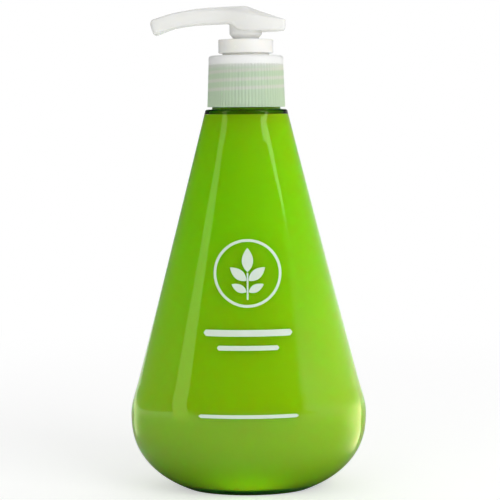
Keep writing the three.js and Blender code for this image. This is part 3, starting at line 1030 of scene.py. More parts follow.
    def ribbon(self, centre: Callable[[float], Point], half: Callable[[float], float], steps: int) -> Tuple[list, list]:
        """A closed film on the front skin along a line.

        Args:
            centre: Place of the line at a share of its length.
            half: Half width of the film at that share.
            steps: Pieces along the line.

        Returns:
            Points and faces.
        """
        across, film = 6, 0.06
        rows = []
        for i in range(steps + 1):
            t = i / steps
            here, near = Vector(centre(t)), Vector(centre(min(t + 0.01, 1.0))) - Vector(centre(max(t - 0.01, 0.0)))
            side = Vector((-near.y, near.x)).normalized() * half(t)
            rows.append([here + side * (2 * j / across - 1) for j in range(across + 1)])
        points, faces = [], []
        width = across + 1
        for proud in (film, -film):
            points += [self.front(p.x, p.y, proud) for row in rows for p in row]
        back = len(rows) * width
        for i in range(steps):
            for j in range(across):
                a, b, c, d = i * width + j, i * width + j + 1, (i + 1) * width + j + 1, (i + 1) * width + j
                faces += [[a, b, c, d], [back + d, back + c, back + b, back + a]]
            for j, flip in ((0, False), (across, True)):
                a, d = i * width + j, (i + 1) * width + j
                side_face = [d, back + d, back + a, a]
                faces.append(side_face[::-1] if flip else side_face)
        for i, flip in ((0, True), (steps, False)):
            for j in range(across):
                a, b = i * width + j, i * width + j + 1
                end_face = [a, back + a, back + b, b]
                faces.append(end_face[::-1] if flip else end_face)
        return points, faces

    def motif(self) -> bpy.types.Object:
        """Builds the pale motif: a ring round a sprig of leaves, with plain bars under it.

        Returns:
            One mesh of thin films.
        """
        middle, radius = Vector((0.0, 78.0)), 11.0

        def leaf(x: float, z: float, lean: float, length: float) -> Tuple[Callable, Callable]:
            direction = Vector((math.sin(lean), math.cos(lean)))
            return (
                lambda t: tuple(Vector((x, z)) + direction * length * t),
                lambda t: max(0.02, 0.27 * length * math.sin(math.pi * t) ** 0.8 * (1 - 0.25 * t)),
            )

        def bar(z: float, half_length: float, half: float) -> Tuple[Callable, Callable]:
            def rounded(t: float) -> float:
                end = min(t, 1 - t) * 2 * half_length
                return half * math.sqrt(max(0.0004, 1 - max(0.0, 1 - end / half) ** 2))

            return lambda t: (half_length * (2 * t - 1), z), rounded

        lines = [
            (
                lambda t: (
                    middle.x + radius * math.sin(2 * math.pi * t),
                    middle.y + radius * math.cos(2 * math.pi * t),
                ),
                lambda t: 0.45,
                96,
            )
        ]
        for x, z, lean, length in (
            (0.0, 78.5, 0.0, 8.0),
            (-0.4, 75.6, -0.9, 7.0),
            (0.4, 75.6, 0.9, 7.0),
            (-0.4, 71.8, -1.1, 5.6),
            (0.4, 71.8, 1.1, 5.6),
        ):
            lines.append((*leaf(x, z, lean, length), 24))
        lines.append((lambda t: (0.0, 69.2 + 9 * t), lambda t: 0.28, 12))
        for z, half_length, half in ((58.0, 15.0, 1.1), (53.0, 10.5, 0.8), (30.0, 17.0, 0.6)):
            lines.append((*bar(z, half_length, half), 40))
        points: list = []
        faces: list = []
        for centre, half, steps in lines:
            more, skins = self.ribbon(centre, half, steps)
            faces += [[len(points) + c for c in face] for face in skins]
            points += more
        return mesh_object("front_motif", points, faces)

    def build(self, wall: bpy.types.Material, gel: bpy.types.Material, ink: bpy.types.Material) -> None:
        """Builds and dresses the bottle, the gel, the thread and the motif."""
        dressed(self.shell(), wall, "bottle", "clear_green_bottle", "bottle")
        dressed(self.gel(), gel, "bottle", "green_gel", "gel")
        thread = grown(
            "neck_thread",
            seed_object("neck_seed"),
            thread_tree(),
            Radius=metres(self.neck_radius),
            Pitch=metres(3.0),
            Turns=1.75,
            Foot=metres(self.shoulder_height + 5.2),
            Ridge=metres(0.62),
            Finish=wall,
        )
        dressed(thread, wall, "bottle", "clear_green_bottle")
        dressed(self.motif(), ink, "bottle", "clear_green_bottle")


# ---------------------------------------------------------------- collar


@dataclass
class Collar:
    """The ribbed screw collar."""

    foot: float = 133.75
    ceiling: float = 150.35
    roof: float = 1.1
    foot_radius: float = 13.5
    radius: float = 12.95
    bore: float = 12.2
    round: float = 1.1
    hole: float = 8.4
    smooth_band: float = 3.1
    ribs: int = 72
    rib_depth: float = 0.14
    sides: int = 864

    def body(self, finish: bpy.types.Material) -> bpy.types.Object:
        """Builds the collar with its ribs.

        Args:
            finish: Its material.

        Returns:
            The finished piece.
        """
        top = self.ceiling + self.roof
        rib_top = top - self.smooth_band
        line = [(self.bore, self.foot), (self.foot_radius - 0.1, self.foot), (self.foot_radius, self.foot + 0.12)]
        rows = 6
        for k in range(1, rows + 1):
            t = k / rows
            line.append((self.foot_radius + (self.radius - self.foot_radius) * t, self.foot + (rib_top - self.foot) * t))
        line.append((self.radius, rib_top + 0.12))
        for k in range(8):
            angle = math.pi / 2 * k / 7
            line.append(
                (
                    self.radius - self.round + self.round * math.cos(angle),
                    top - self.round + self.round * math.sin(angle),
                )
            )
        line += [(self.hole, top), (self.hole, self.ceiling), (self.bore, self.ceiling)]
        base = spun("collar_base", [Ring(r, r, z) for r, z in line], self.sides, True)
        return grown(
            "collar_body",
            base,
            rib_tree(),
            Ribs=self.ribs,
            Depth=metres(self.rib_depth),
            Top=metres(rib_top + 0.05),
            Inside=metres(self.bore + 0.2),
            Finish=finish,
        )

    def build(self, finish: bpy.types.Material, thick: bpy.types.Material) -> None:
        """Builds and dresses the collar and its inner thread."""
        dressed(self.body(finish), finish, "collar", "frosted_plastic", "screw_collar")
        thread = grown(
            "collar_thread",
            seed_object("collar_seed"),
            thread_tree(),
            Radius=metres(self.bore),
            Pitch=metres(3.0),
            Turns=2.75,
            Foot=metres(self.foot + 3.6),
            Ridge=metres(0.45),
            Finish=thick,
        )
        dressed(thread, thick, "collar", "frosted_plastic")


# ---------------------------------------------------------------- pump


@dataclass
class Pump:
    """The fixed and sliding pieces inside the dispenser, and the ring on top of the collar."""

    gap: float = 0.25
    flange_foot: float = 148.8
    flange_top: float = 150.1
    ring_foot: float = 152.25
    ring_top: float = 156.95
    ring_radius: float = 9.5
    ring_neck: float = 8.1
    ring_bore: float = 4.95
    skirt_foot: float = 143.6
    housing_bore: float = 6.6
    stem_radius: float = 2.9
    stem_bore: float = 1.9

    def ring(self) -> bpy.types.Object:
        """Builds the lock ring with its neck and guide skirt."""
        skirt, guide = self.housing_bore - self.gap, self.stem_radius + self.gap
        return turned(
            "lock_ring_body",
            [
                (guide, self.skirt_foot),
                (skirt, self.skirt_foot),
                (skirt, self.flange_top + self.gap),
                (self.ring_neck, self.flange_top + self.gap),
                (self.ring_neck, self.ring_foot),
                (self.ring_radius, self.ring_foot),
                (self.ring_radius, self.ring_top),
                (self.ring_bore, self.ring_top),
                (self.ring_bore, 151.4),
                (guide, 151.4),
            ],
            0.32,
            160,
        )

    def housing(self) -> bpy.types.Object:
        """Builds the flanged cylinder with its valve chamber and nipple."""
        return turned(
            "housing_body",
            [
                (3.25, 89.5),
                (4.35, 89.5),
                (4.35, 96.5),
                (7.6, 101.1),
                (7.6, self.flange_foot),
                (11.2, self.flange_foot),
                (11.2, self.flange_top),
                (6.6, self.flange_top),
                (6.6, 103.15),
                (3.4, 103.15),
                (3.4, 99.68),
                (1.6, 97.88),
                (1.6, 96.5),
                (3.25, 96.5),
            ],
        )

    def stem(self) -> bpy.types.Object:
        """Builds the hollow stem with its bead and its cross ports."""
        foot, bead, top = 120.15, 129.35, 161.0
        tube = turned(
            "stem_tube",
            [
                (self.stem_bore, foot),
                (self.stem_radius, foot),
                (self.stem_radius, bead - 1.2),
                (self.stem_radius + 1, bead - 1.2),
                (self.stem_radius + 1, bead),
                (self.stem_radius, bead),
                (self.stem_radius, top),
                (self.stem_bore, top),
            ],
            sides=64,
        )
        reach = self.stem_radius + 1
        rows = [
            [Vector((y, 0.7 * math.cos(a), 123.4 + 0.7 * math.sin(a))) for a in (2 * math.pi * k / 24 for k in range(24))]
            for y in (-reach, reach)
        ]
        return combined(tube, lofted("stem_port", rows), Cut.TAKE_AWAY)

    def spring(self) -> bpy.types.Object:
        """Builds the return spring as one round wire."""
        turns, foot, length, radius, wire = 7, 104.65, 13.8, 4.5, 0.45
        steps, sides = turns * 36, 14
        rows = []
        for k in range(steps + 1):
            t = k / steps
            angle = 2 * math.pi * turns * t
            out = Vector((math.cos(angle), math.sin(angle), 0))
            centre = out * radius + Vector((0, 0, foot + wire + t * (length - 2 * wire)))
            rows.append(
                [
                    centre + wire * (out * math.cos(a) + Vector((0, 0, 1)) * math.sin(a))
                    for a in (2 * math.pi * j / sides for j in range(sides))
                ]
            )
        return lofted("spring_wire", rows)

    def build(self, finishes: dict) -> None:
        """Builds and dresses every piece of the pump.

        Args:
            finishes: Materials by name.
        """
        inner, seal, gap = finishes["inner"], finishes["seal"], self.gap
        natural, soft = "natural_plastic", "soft_seal"
        dressed(self.ring(), finishes["ring"], "pump", "warm_white_plastic", "lock_ring")
        dressed(self.housing(), inner, "pump", natural, "pump_housing")
        gasket = turned("seal_washer", [(8.2, 147.55), (11.2, 147.55), (11.2, 148.55), (8.2, 148.55)])
        dressed(gasket, seal, "pump", soft, "gasket")
        tube = turned("suction_tube", [(2.3, 6.8), (3.0, 6.8), (3.0, 96.25), (2.3, 96.25)], sides=64)
        dressed(tube, inner, "pump", natural, "dip_tube")
        centre, radius = 99.85, 2.4
        arc = [math.pi * k / 24 for k in range(25)]
        rings = [Ring(radius * math.sin(a), radius * math.sin(a), centre - radius * math.cos(a)) for a in arc]
        ball = spun("valve_ball_body", rings, 48, False)
        dressed(ball, finishes["ball"], "valve_ball", "ball_steel", "inlet_ball")
        rod = turned(
            "rod_body",
            [
                (0, 110.7),
                (1.6, 110.7),
                (1.6, 118.7),
                (5.4, 118.7),
                (5.4, 119.9),
                (self.stem_bore - gap, 119.9),
                (self.stem_bore - gap, 122.3),
                (0, 122.3),
            ],
            sides=64,
        )
        dressed(rod, inner, "plunger", natural, "valve_rod")
        dressed(self.stem(), finishes["milky"], "plunger", "milky_plastic", "stem")
        lip, bore, foot, top = self.housing_bore - gap, self.stem_radius + gap, 120.15, 127.15
        waist, edge = lip - 0.7, 1.4
        sleeve = turned(
            "piston_sleeve",
            [
                (bore, foot),
                (waist, foot),
                (lip, foot + edge / 2),
                (lip, foot + edge),
                (waist, foot + 2 * edge),
                (waist, top - 2 * edge),
                (lip, top - edge),
                (lip, top - edge / 2),
                (waist, top),
                (bore, top),
            ],
            0.3,
        )
        dressed(sleeve, seal, "piston", soft, "piston")
        wire = self.spring()
        wire.data.materials.append(finishes["spring"])
        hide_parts("return_spring")
        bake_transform(wire)
        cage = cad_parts["ball_cage"]
        cage.data.materials.clear()
        cage.data.materials.append(inner)


# ---------------------------------------------------------------- head


@dataclass(frozen=True)
class Station:
    """Form of the head at one place along it, in millimetres.

    Attributes:
        x: Place along the head.
        back: How far the underside sits behind the ridge.
        ridge: Height of the crown's middle.
        edge: Height of the crown's edges.
        under: Height of the underside.
        half: Half width.
    """

    x: float
    back: float
    ridge: float
    edge: float
    under: float
    half: float


@dataclass
class Head:
    """The pump head: nozzle, crown, tab, hub and plug."""

    ring_top: float = 156.95
    hub_rise: float = 2.8
    hub_radius: float = 5.6
    hub_chamfer: float = 1.2
    plug_radius: float = 4.5
    plug_neck: float = 0.6
    plug_length: float = 5.3
    height: float = 8.7
    reach: float = 33.2
    nozzle_half: float = 2.8
    nozzle_rise: float = 2.5
    droop: float = 3.75
    nozzle_bore: float = 1.5
    tab_reach: float = 12.9
    tab_half: float = 7.6
    corner: float = 0.9
    tip_round: Tuple[float, float] = (1.3, 0.3)
    tab_round: Tuple[float, float] = (0.8, 0.6)
    stem_radius: float = 2.9
    gap: float = 0.25
    steps: int = 110

    def stations(self) -> List[Station]:
        """Stations from the nozzle's tip to the end of the tab."""
        under = self.ring_top + self.hub_rise
        crown = under + self.height
        nozzle = [
            (0.955, self.droop + 0.6, self.droop + 1.1, self.droop, 1.3, 1.0),
            (0.72, 2.35, 2.9, 1.4, 1.4, 1.04),
            (0.43, 0.9, 1.65, 0.4, 0.5, 1.1),
            (0.16, 0.3, 1.75, 0.05, 0.0, 1.32),
            (0.0, 0.1, 2.1, 0.0, 0.0, 1.74),
        ]
        tab = [
            (-0.22, 0.0, 2.5, 0.6, 0.79),
            (0.03, 0.05, 2.9, 0.0, 0.92),
            (0.33, 1.45, 3.5, 0.0, 1.0),
            (0.66, 2.9, 4.1, 0.05, 0.98),
            (1.0, 4.5, 4.7, 0.3, 0.83),
        ]
        made = [
            Station(
                -self.hub_radius + (self.hub_radius - self.reach) * out,
                back,
                crown - ridge,
                crown - edge,
                under + self.nozzle_rise - low,
                width * self.nozzle_half,
            )
            for out, ridge, edge, low, back, width in nozzle
        ]
        made += [
            Station(out * self.tab_reach, 0.0, crown - ridge, crown - edge, under + low, width * self.tab_half)
            for out, ridge, edge, low, width in tab
        ]
        return made

    def at(self, share: float) -> Station:
        """The head's form at a share of the way, on smooth curves through its stations.

        Args:
            share: Share of the way from the tip to the end of the tab.

        Returns:
            The form there.
        """
        stations = self.stations()
        last = len(stations) - 1
        place = last * share
        i = min(int(place), last - 1) if share < 1 else last
        t = place - i
        near = [stations[max(i - 1, 0)], stations[i], stations[min(i + 1, last)], stations[min(i + 2, last)]]
        names = ("x", "back", "ridge", "edge", "under", "half")
        return Station(*(smooth(t, *(getattr(s, name) for s in near)) for name in names))

    def section(self, form: Station) -> List[Vector]:
        """One cross section of the head.

        Args:
            form: The form there.

        Returns:
            Points round the section, seen from the tip.
        """
        ridge, edge = Vector((form.x, form.ridge)), Vector((form.x, form.edge))
        under = Vector((form.x + form.back, form.under))
        side = edge - under
        corner = min(self.corner, side.length / 3)
        right = []
        for k in range(7):
            angle = math.pi / 2 * k / 6
            p = under + side.normalized() * corner * (1 - math.cos(angle))
            right.append(Vector((p.x, form.half - corner + corner * math.sin(angle), p.y)))
        crown_steps = 12
        soft = 0.5
        for k in range(crown_steps):
            inward = k / crown_steps
            p = edge.lerp(ridge, 1 - (1 - inward) ** 2)
            drop = soft * max(0.0, 1 - inward * 6) ** 2
            right.append(Vector((p.x, form.half * (1 - inward) - 0.25 * drop, p.y - drop * 0.35)))
        left = [Vector((p.x, -p.y, p.z)) for p in reversed(right)]
        return [*right, Vector((ridge.x, 0.0, ridge.y)), *left]

    def ends(self, section: List[Vector], inner: List[Vector], form: Tuple[float, float]) -> List[List[Vector]]:
        """Sections that round one end of the head, from the outermost in.

        Args:
            section: The last section.
            inner: The one before it.
            form: How far the end bulges, and the share of the section that its flat middle has.

        Returns:
            Sections of equal count.
        """
        middle = sum(section, Vector()) / len(section)
        away = (middle - sum(inner, Vector()) / len(inner)).normalized()
        made = []
        for k in range(6, 0, -1):
            angle = math.pi / 2 * k / 6
            share = form[1] + (1 - form[1]) * math.cos(angle)
            out = away * form[0] * math.sin(angle)
            made.append([middle + (p - middle) * share + out for p in section])
        return made

    def bar(self, name: str, path: Sequence[Vector], radius: float) -> bpy.types.Object:
        """A round bar along points in the XZ plane."""
        rows = []
        for i, p in enumerate(path):
            along = (path[min(i + 1, len(path) - 1)] - path[max(i - 1, 0)]).normalized()
            up = Vector((0, 1, 0)).cross(along)
            rows.append(
                [
                    p + radius * (Vector((0, 1, 0)) * math.cos(a) + up * math.sin(a))
                    for a in (2 * math.pi * k / 20 for k in range(20))
                ]
            )
        return lofted(name, rows)

    def body(self) -> bpy.types.Object:
        """Builds the head as one solid.

        Returns:
            The finished piece.
        """
        rows = [self.section(self.at(k / self.steps)) for k in range(self.steps + 1)]
        sections = [
            *self.ends(rows[0], rows[1], self.tip_round),
            *rows,
            *reversed(self.ends(rows[-1], rows[-2], self.tab_round)),
        ]
        skin = lofted("head_body", sections)
        under = self.ring_top + self.hub_rise
        foot, neck = self.ring_top - self.plug_length, self.ring_top + self.plug_neck
        top = under + self.nozzle_rise + self.corner
        hub = turned(
            "head_hub",
            [
                (0, foot),
                (self.plug_radius, foot),
                (self.plug_radius, neck),
                (self.hub_radius, neck + self.hub_chamfer),
                (self.hub_radius, top),
                (0, top),
            ],
            0.3,
        )
        stem_top = under + self.nozzle_rise / 2
        reach = self.stem_radius + self.gap
        socket = turned(
            "head_socket", [(0, foot - 1), (reach, foot - 1), (reach, stem_top + self.gap), (0, stem_top + self.gap)], 0.1
        )
        head = combined(skin, hub, Cut.JOIN)
        head = combined(head, socket, Cut.TAKE_AWAY)
        middles = [sum(row, Vector()) / len(row) for row in rows]
        path = [p for p in middles if p.x < -2 * self.nozzle_bore]
        path.insert(0, path[0] + (path[0] - path[1]).normalized() * 3)
        path += [Vector((-self.nozzle_bore, 0, path[-1].z - 0.5)), Vector((0, 0, path[-1].z - 2.0))]
        path.append(Vector((0, 0, stem_top - 0.5)))
        return combined(head, self.bar("paste_bore", path, self.nozzle_bore), Cut.TAKE_AWAY)

    def build(self, finish: bpy.types.Material) -> None:
        """Builds and dresses the head and the lock thread on its plug."""
        dressed(self.body(), finish, "head", "milky_plastic", "pump_head")
        thread = grown(
            "plug_thread",
            seed_object("plug_seed"),
            thread_tree(),
            Radius=metres(self.plug_radius - 0.05),
            Pitch=metres(2.4),
            Turns=1.5,
            Foot=metres(self.ring_top - self.plug_length + 0.8),
            Ridge=metres(0.3),
            Finish=finish,
        )
        dressed(thread, finish, "head", "milky_plastic")


# ---------------------------------------------------------------- studio


def only_mirrored(card: bpy.types.Object) -> None:
    """Makes a piece of the studio that only reflections show."""
    card.visible_camera = False
    card.visible_diffuse = False
    card.visible_shadow = False
    card.visible_transmission = False


@dataclass(frozen=True)
class Lamp:
    """A soft rectangular lamp that faces the dispenser.

    Attributes:
        name: Name of the lamp.
        azimuth: Degrees from the camera's side, positive towards +X.
        distance: Metres from the axis.
        height: Height of its middle, in metres.
        size: Width and height, in metres.
        radiance: Brightness of its face, where 1 is paper white.
        aim: Height that it points at, in metres.
        mirrored: Whether reflections show it.
    """

    name: str
    azimuth: float
    distance: float
    height: float
    size: Tuple[float, float]
    radiance: float
    aim: float = 0.09
    mirrored: bool = False

    def build(self) -> None:
        """Makes the lamp."""
        light = bpy.data.lights.new(self.name, "AREA")
        light.shape = "RECTANGLE"
        light.size, light.size_y = self.size
        light.energy = self.radiance * math.pi * self.size[0] * self.size[1]
        made = bpy.data.objects.new(self.name, light)
        made.visible_camera = False
        made.visible_glossy = self.mirrored
        bpy.context.scene.collection.objects.link(made)
        turn = math.radians(self.azimuth)
        at = Vector((self.distance * math.sin(turn), -self.distance * math.cos(turn), self.height))
        aim = Vector((0, 0, self.aim)) - at
        made.matrix_world = Matrix.Translation(at) @ aim.to_track_quat("-Z", "Y").to_matrix().to_4x4()


@dataclass(frozen=True)
class Card:
    """A lit card that only reflections show, hung as a curved strip from rung to rung.

    Attributes:
        name: Name of the card.
        rungs: Left and right corner of each rung in millimetres, from the top down.
        radiance: Brightness of its face, where 1 is paper white.
        colour: sRGB hex of its light.
        soft: Shares of its size over which it fades in from the left, right, top and bottom.
        inside: Whether only light through the bottle's wall shows it, and no reflection.
    """

    name: str
    rungs: Tuple[Tuple[Tuple[float, float, float], Tuple[float, float, float]], ...]
    radiance: float
    colour: str = "#ffffff"
    soft: Tuple[float, float, float, float] = (0.04, 0.04, 0.02, 0.02)
    inside: bool = False

    def sheet(self) -> bpy.types.Object:
        """Makes the card's mesh, with its place across and along it as a point attribute named span."""
        steps, across, lowest = 10, 8, 0.3
        last = len(self.rungs) - 1
        points: List[Vector] = []
        spans: List[float] = []
        for k in range(last * steps + 1):
            i = min(k // steps, last - 1)
            near = [self.rungs[min(max(j, 0), last)] for j in range(i - 1, i + 3)]
            ends = [
                Vector(smooth(k / steps - i, *(rung[side][axis] for rung in near)) for axis in range(3))
                for side in (0, 1)
            ]
            for j in range(across + 1):
                point = ends[0].lerp(ends[1], j / across)
                point.z = max(point.z, lowest)
                points.append(point)
                spans += [j / across, k / (last * steps), 0.0]
        row = across + 1
        faces = [
            [i * row + j, i * row + j + 1, (i + 1) * row + j + 1, (i + 1) * row + j]
            for i in range(last * steps)
            for j in range(across)
        ]
        made = mesh_object(self.name, points, faces)
        made.data.attributes.new("span", "FLOAT_VECTOR", "POINT").data.foreach_set("vector", spans)
        return made

    def build(self) -> None:
        """Makes the card with its soft edges."""
        made = self.sheet()
        face = bpy.data.materials.new(self.name + "_face")
        face.use_nodes = True
        tree = face.node_tree
        tree.nodes.clear()
        span = add_node(tree, "ShaderNodeAttribute", {"attribute_name": "span"}).outputs["Vector"]
        place = add_node(tree, "ShaderNodeSeparateXYZ", Vector=span)
        share: Any = 1.0
        for side, reach in enumerate(self.soft):
            start, end = (1.0, 1.0 - reach) if side % 2 else (0.0, reach)
            fade = add_node(
                tree,
                "ShaderNodeMapRange",
                {"interpolation_type": "SMOOTHSTEP"},
                Value=place.outputs["XY"[side // 2]],
                From_Min=start,
                From_Max=end,
            )
            share = add_node(tree, "ShaderNodeMath", {"operation": "MULTIPLY"}, i0=fade.outputs[0], i1=share)
        lit = add_node(tree, "ShaderNodeEmission", Color=linear(self.colour), Strength=self.radiance)
        clear = add_node(tree, "ShaderNodeBsdfTransparent")
        both = add_node(tree, "ShaderNodeMixShader", i0=share, i1=clear.outputs[0], i2=lit.outputs[0])
        add_node(tree, "ShaderNodeOutputMaterial", Surface=both.outputs[0])
        made.data.materials.append(face)
        only_mirrored(made)
        made.visible_transmission = self.inside
        made.visible_glossy = not self.inside


@dataclass
class Studio:
    """Camera, lamps, white surroundings, dark room and floor."""

    camera_at: Tuple[float, float, float] = (0.9, -560.0, 133.94)
    pitch: float = 5.107
    roll: float = -0.45
    focal_pixels: float = 1606.4
    frame_pixels: float = 500.0
    ambient: float = 0.8
    zenith: float = 0.42
    floor_glow: float = 0.46
    # Painted glow: a faint light that the paper round the foot gives only to the view through the bottle.
    painted_glow_round_foot: float = 0.02
    paper: float = 0.8
    # Painted shadow: the paper under and beside the foot is darker only where reflections and the view through the
    # bottle show it.
    painted_shadow_under_foot: float = 0.34
    painted_shadow_beside_foot: float = 0.14
    room_radius: float = 1500.0
    room_left: float = -170.0
    room_right: float = 168.0
    # Azimuth in degrees, brightness and warmth of the light that the room sends through the bottle's wall.
    room_inside: Tuple[Tuple[float, float, float], ...] = (
        (-170, 0.45, 0.0),
        (-145, 0.6, 0.0),
        (-105, 1.9, 0.5),
        (-60, 0.85, 0.1),
        (-25, 0.57, 0.0),
        (20, 0.8, 0.0),
        (60, 1.8, 0.4),
        (95, 3.7, 0.8),
        (125, 2.6, 0.7),
        (150, 0.7, 0.2),
        (168, 0.45, 0.0),
    )

    def camera(self) -> None:
        """Makes the camera."""
        lens = bpy.data.cameras.new("camera")
        lens.sensor_width = 36.0
        lens.lens = self.focal_pixels * lens.sensor_width / self.frame_pixels
        lens.clip_start, lens.clip_end = 0.01, 20.0
        made = bpy.data.objects.new("camera", lens)
        bpy.context.scene.collection.objects.link(made)
        made.matrix_world = (
            Matrix.Translation([metres(c) for c in self.camera_at])
            @ Matrix.Rotation(math.radians(90 - self.pitch), 4, "X")
            @ Matrix.Rotation(math.radians(self.roll), 4, "Z")
        )
        bpy.context.scene.camera = made

    @staticmethod
    def background_rays(tree: bpy.types.NodeTree) -> bpy.types.Node:
        """Adds the nodes that are 1 for camera, glossy and transmission rays."""
        path = add_node(tree, "ShaderNodeLightPath")
        seen = path.outputs["Is Camera Ray"]
        for ray in ("Is Glossy Ray", "Is Transmission Ray"):
            seen = add_node(tree, "ShaderNodeMath", {"operation": "MAXIMUM"}, i0=seen, i1=path.outputs[ray])
        return seen

    def surroundings(self) -> None:
        """Makes the world: white where it is seen, and a soft light that is weaker overhead."""
        world = bpy.data.worlds.new("white_studio")
        bpy.context.scene.world = world
        world.use_nodes = True
        tree = world.node_tree
        tree.nodes.clear()
        place = add_node(tree, "ShaderNodeTexCoord").outputs["Generated"]
        height = add_node(tree, "ShaderNodeSeparateXYZ", Vector=place).outputs["Z"]
        light = add_node(tree, "ShaderNodeMapRange", Value=height, To_Min=self.ambient, To_Max=self.zenith)
        seen = self.background_rays(tree)
        level = add_node(tree, "ShaderNodeMapRange", Value=seen, To_Min=light.outputs[0], To_Max=1.0)
        sky = add_node(tree, "ShaderNodeBackground", Color=(1, 1, 1, 1), Strength=level)
        add_node(tree, "ShaderNodeOutputWorld", Surface=sky.outputs[0])

    def floor(self) -> None:
        """Makes the pale floor: matt paper near the dispenser that fades into plain white, with a painted shadow under
        and beside the foot and a faint painted glow round it, which only reflections and the view through the bottle
        show.
        """
        span = 3000.0
        made = mesh_object("floor", [(-span, -span, 0), (span, -span, 0), (span, span, 0), (-span, span, 0)], [[0, 1, 2, 3]])
        paper = bpy.data.materials.new("matt_white_paper")
        paper.use_nodes = True
        tree = paper.node_tree
        tree.nodes.clear()
        place = add_node(tree, "ShaderNodeTexCoord").outputs["Object"]
        away = add_node(tree, "ShaderNodeVectorMath", {"operation": "LENGTH"}, i0=place)
        far = add_node(
            tree,
            "ShaderNodeMapRange",
            {"interpolation_type": "SMOOTHSTEP"},
            Value=away.outputs["Value"],
            From_Min=0.09,
            From_Max=0.42,
        )
        path = add_node(tree, "ShaderNodeLightPath")
        # Seen through the bottle, the paper under the foot has a painted shadow, and the paper round it a faint painted
        # glow that lights the heel's inside.
        foot = add_node(
            tree, "ShaderNodeVectorMath", {"operation": "DIVIDE"}, i0=place, i1=(metres(21.7), metres(14.3), 1.0)
        )
        foot_share = add_node(tree, "ShaderNodeVectorMath", {"operation": "LENGTH"}, i0=foot)
        # Mirrored or seen through the clear foot, the paper beside it gets a painted contact shadow and is darker than
        # it is to the eye.
        mirrored = add_node(
            tree,
            "ShaderNodeMapRange",
            {"interpolation_type": "SMOOTHSTEP"},
            Value=foot_share.outputs["Value"],
            From_Min=1.2,
            From_Max=2.8,
            To_Min=self.painted_shadow_beside_foot,
            To_Max=self.paper,
        )
        inside = add_node(tree, "ShaderNodeMath", {"operation": "MINIMUM"}, i0=mirrored.outputs[0], i1=self.painted_shadow_under_foot)
        pale = add_node(
            tree,
            "ShaderNodeMapRange",
            Value=path.outputs["Is Glossy Ray"],
            To_Min=self.paper,
            To_Max=mirrored.outputs[0],
        )
        pale = add_node(
            tree,
            "ShaderNodeMapRange",
            Value=path.outputs["Is Transmission Ray"],
            To_Min=pale.outputs[0],
            To_Max=inside.outputs[0],
        )
        matt = add_node(tree, "ShaderNodeBsdfDiffuse", Color=pale.outputs[0])
        outside = add_node(
            # Painted glow: the paper just round the foot gives off a faint light that only the view through the bottle
            # sees.
            tree,
            "ShaderNodeMapRange",
            {"interpolation_type": "SMOOTHSTEP"},
            Value=foot_share.outputs["Value"],
            From_Min=1.0,
            From_Max=1.3,
            To_Max=self.painted_glow_round_foot,
        )
        seen = self.background_rays(tree)
        direct = add_node(
            tree, "ShaderNodeMath", {"operation": "MULTIPLY"}, i0=path.outputs["Is Camera Ray"], i1=self.floor_glow
        )
        inside = add_node(
            tree,
            "ShaderNodeMath",
            {"operation": "MULTIPLY"},
            i0=path.outputs["Is Transmission Ray"],
            i1=outside.outputs[0],
        )
        glow_level = add_node(tree, "ShaderNodeMath", {"operation": "MAXIMUM"}, i0=direct, i1=inside)
        glow = add_node(tree, "ShaderNodeEmission", Color=(1, 1, 1, 1), Strength=glow_level)
        near = add_node(tree, "ShaderNodeAddShader", i0=matt.outputs[0], i1=glow.outputs[0])
        white = add_node(tree, "ShaderNodeEmission", Color=(1, 1, 1, 1), Strength=seen)
        fade = add_node(tree, "ShaderNodeMath", {"operation": "MULTIPLY"}, i0=far, i1=seen)
        both = add_node(tree, "ShaderNodeMixShader", i0=fade, i1=near.outputs[0], i2=white.outputs[0])
        add_node(tree, "ShaderNodeOutputMaterial", Surface=both.outputs[0])
        made.data.materials.append(paper)

    def ring_point(self, azimuth: float, radius: float, height: float) -> Vector:
        """Point round the table at an azimuth in degrees from the camera's side."""
        turn = math.radians(azimuth)
        return Vector((radius * math.sin(turn), -radius * math.cos(turn), height))

    def room(self) -> None:
        """Makes the dark room round the front of the table, which keeps the gloss from greying the colours.

        Its wall is nearly black in front, and is lit low down at both sides, more at the right. It lies open at the
        back. Light that comes through the bottle's wall from it is dimmer than the light from the back.
        """
        steps, top = 96, 3000.0
        turns = [self.room_left + (self.room_right - self.room_left) * k / steps for k in range(steps + 1)]
        points = [self.ring_point(t, self.room_radius, z) for z in (0.0, top) for t in turns]
        points.append(Vector((0, 0, top)))
        faces = [[k, k + 1, steps + 2 + k, steps + 1 + k] for k in range(steps)]
        faces += [[steps + 1 + k, steps + 2 + k, len(points) - 1] for k in range(steps)]
        made = mesh_object("dark_room", points, faces)
        cloth = bpy.data.materials.new("dark_room_cloth")
        cloth.use_nodes = True
        tree = cloth.node_tree
        tree.nodes.clear()
        place = add_node(tree, "ShaderNodeTexCoord").outputs["Object"]
        parts = add_node(tree, "ShaderNodeSeparateXYZ", Vector=place)
        ahead = add_node(tree, "ShaderNodeMath", {"operation": "MULTIPLY"}, i0=parts.outputs["Y"], i1=-1.0)
        azimuth = add_node(tree, "ShaderNodeMath", {"operation": "ARCTAN2"}, i0=parts.outputs["X"], i1=ahead)
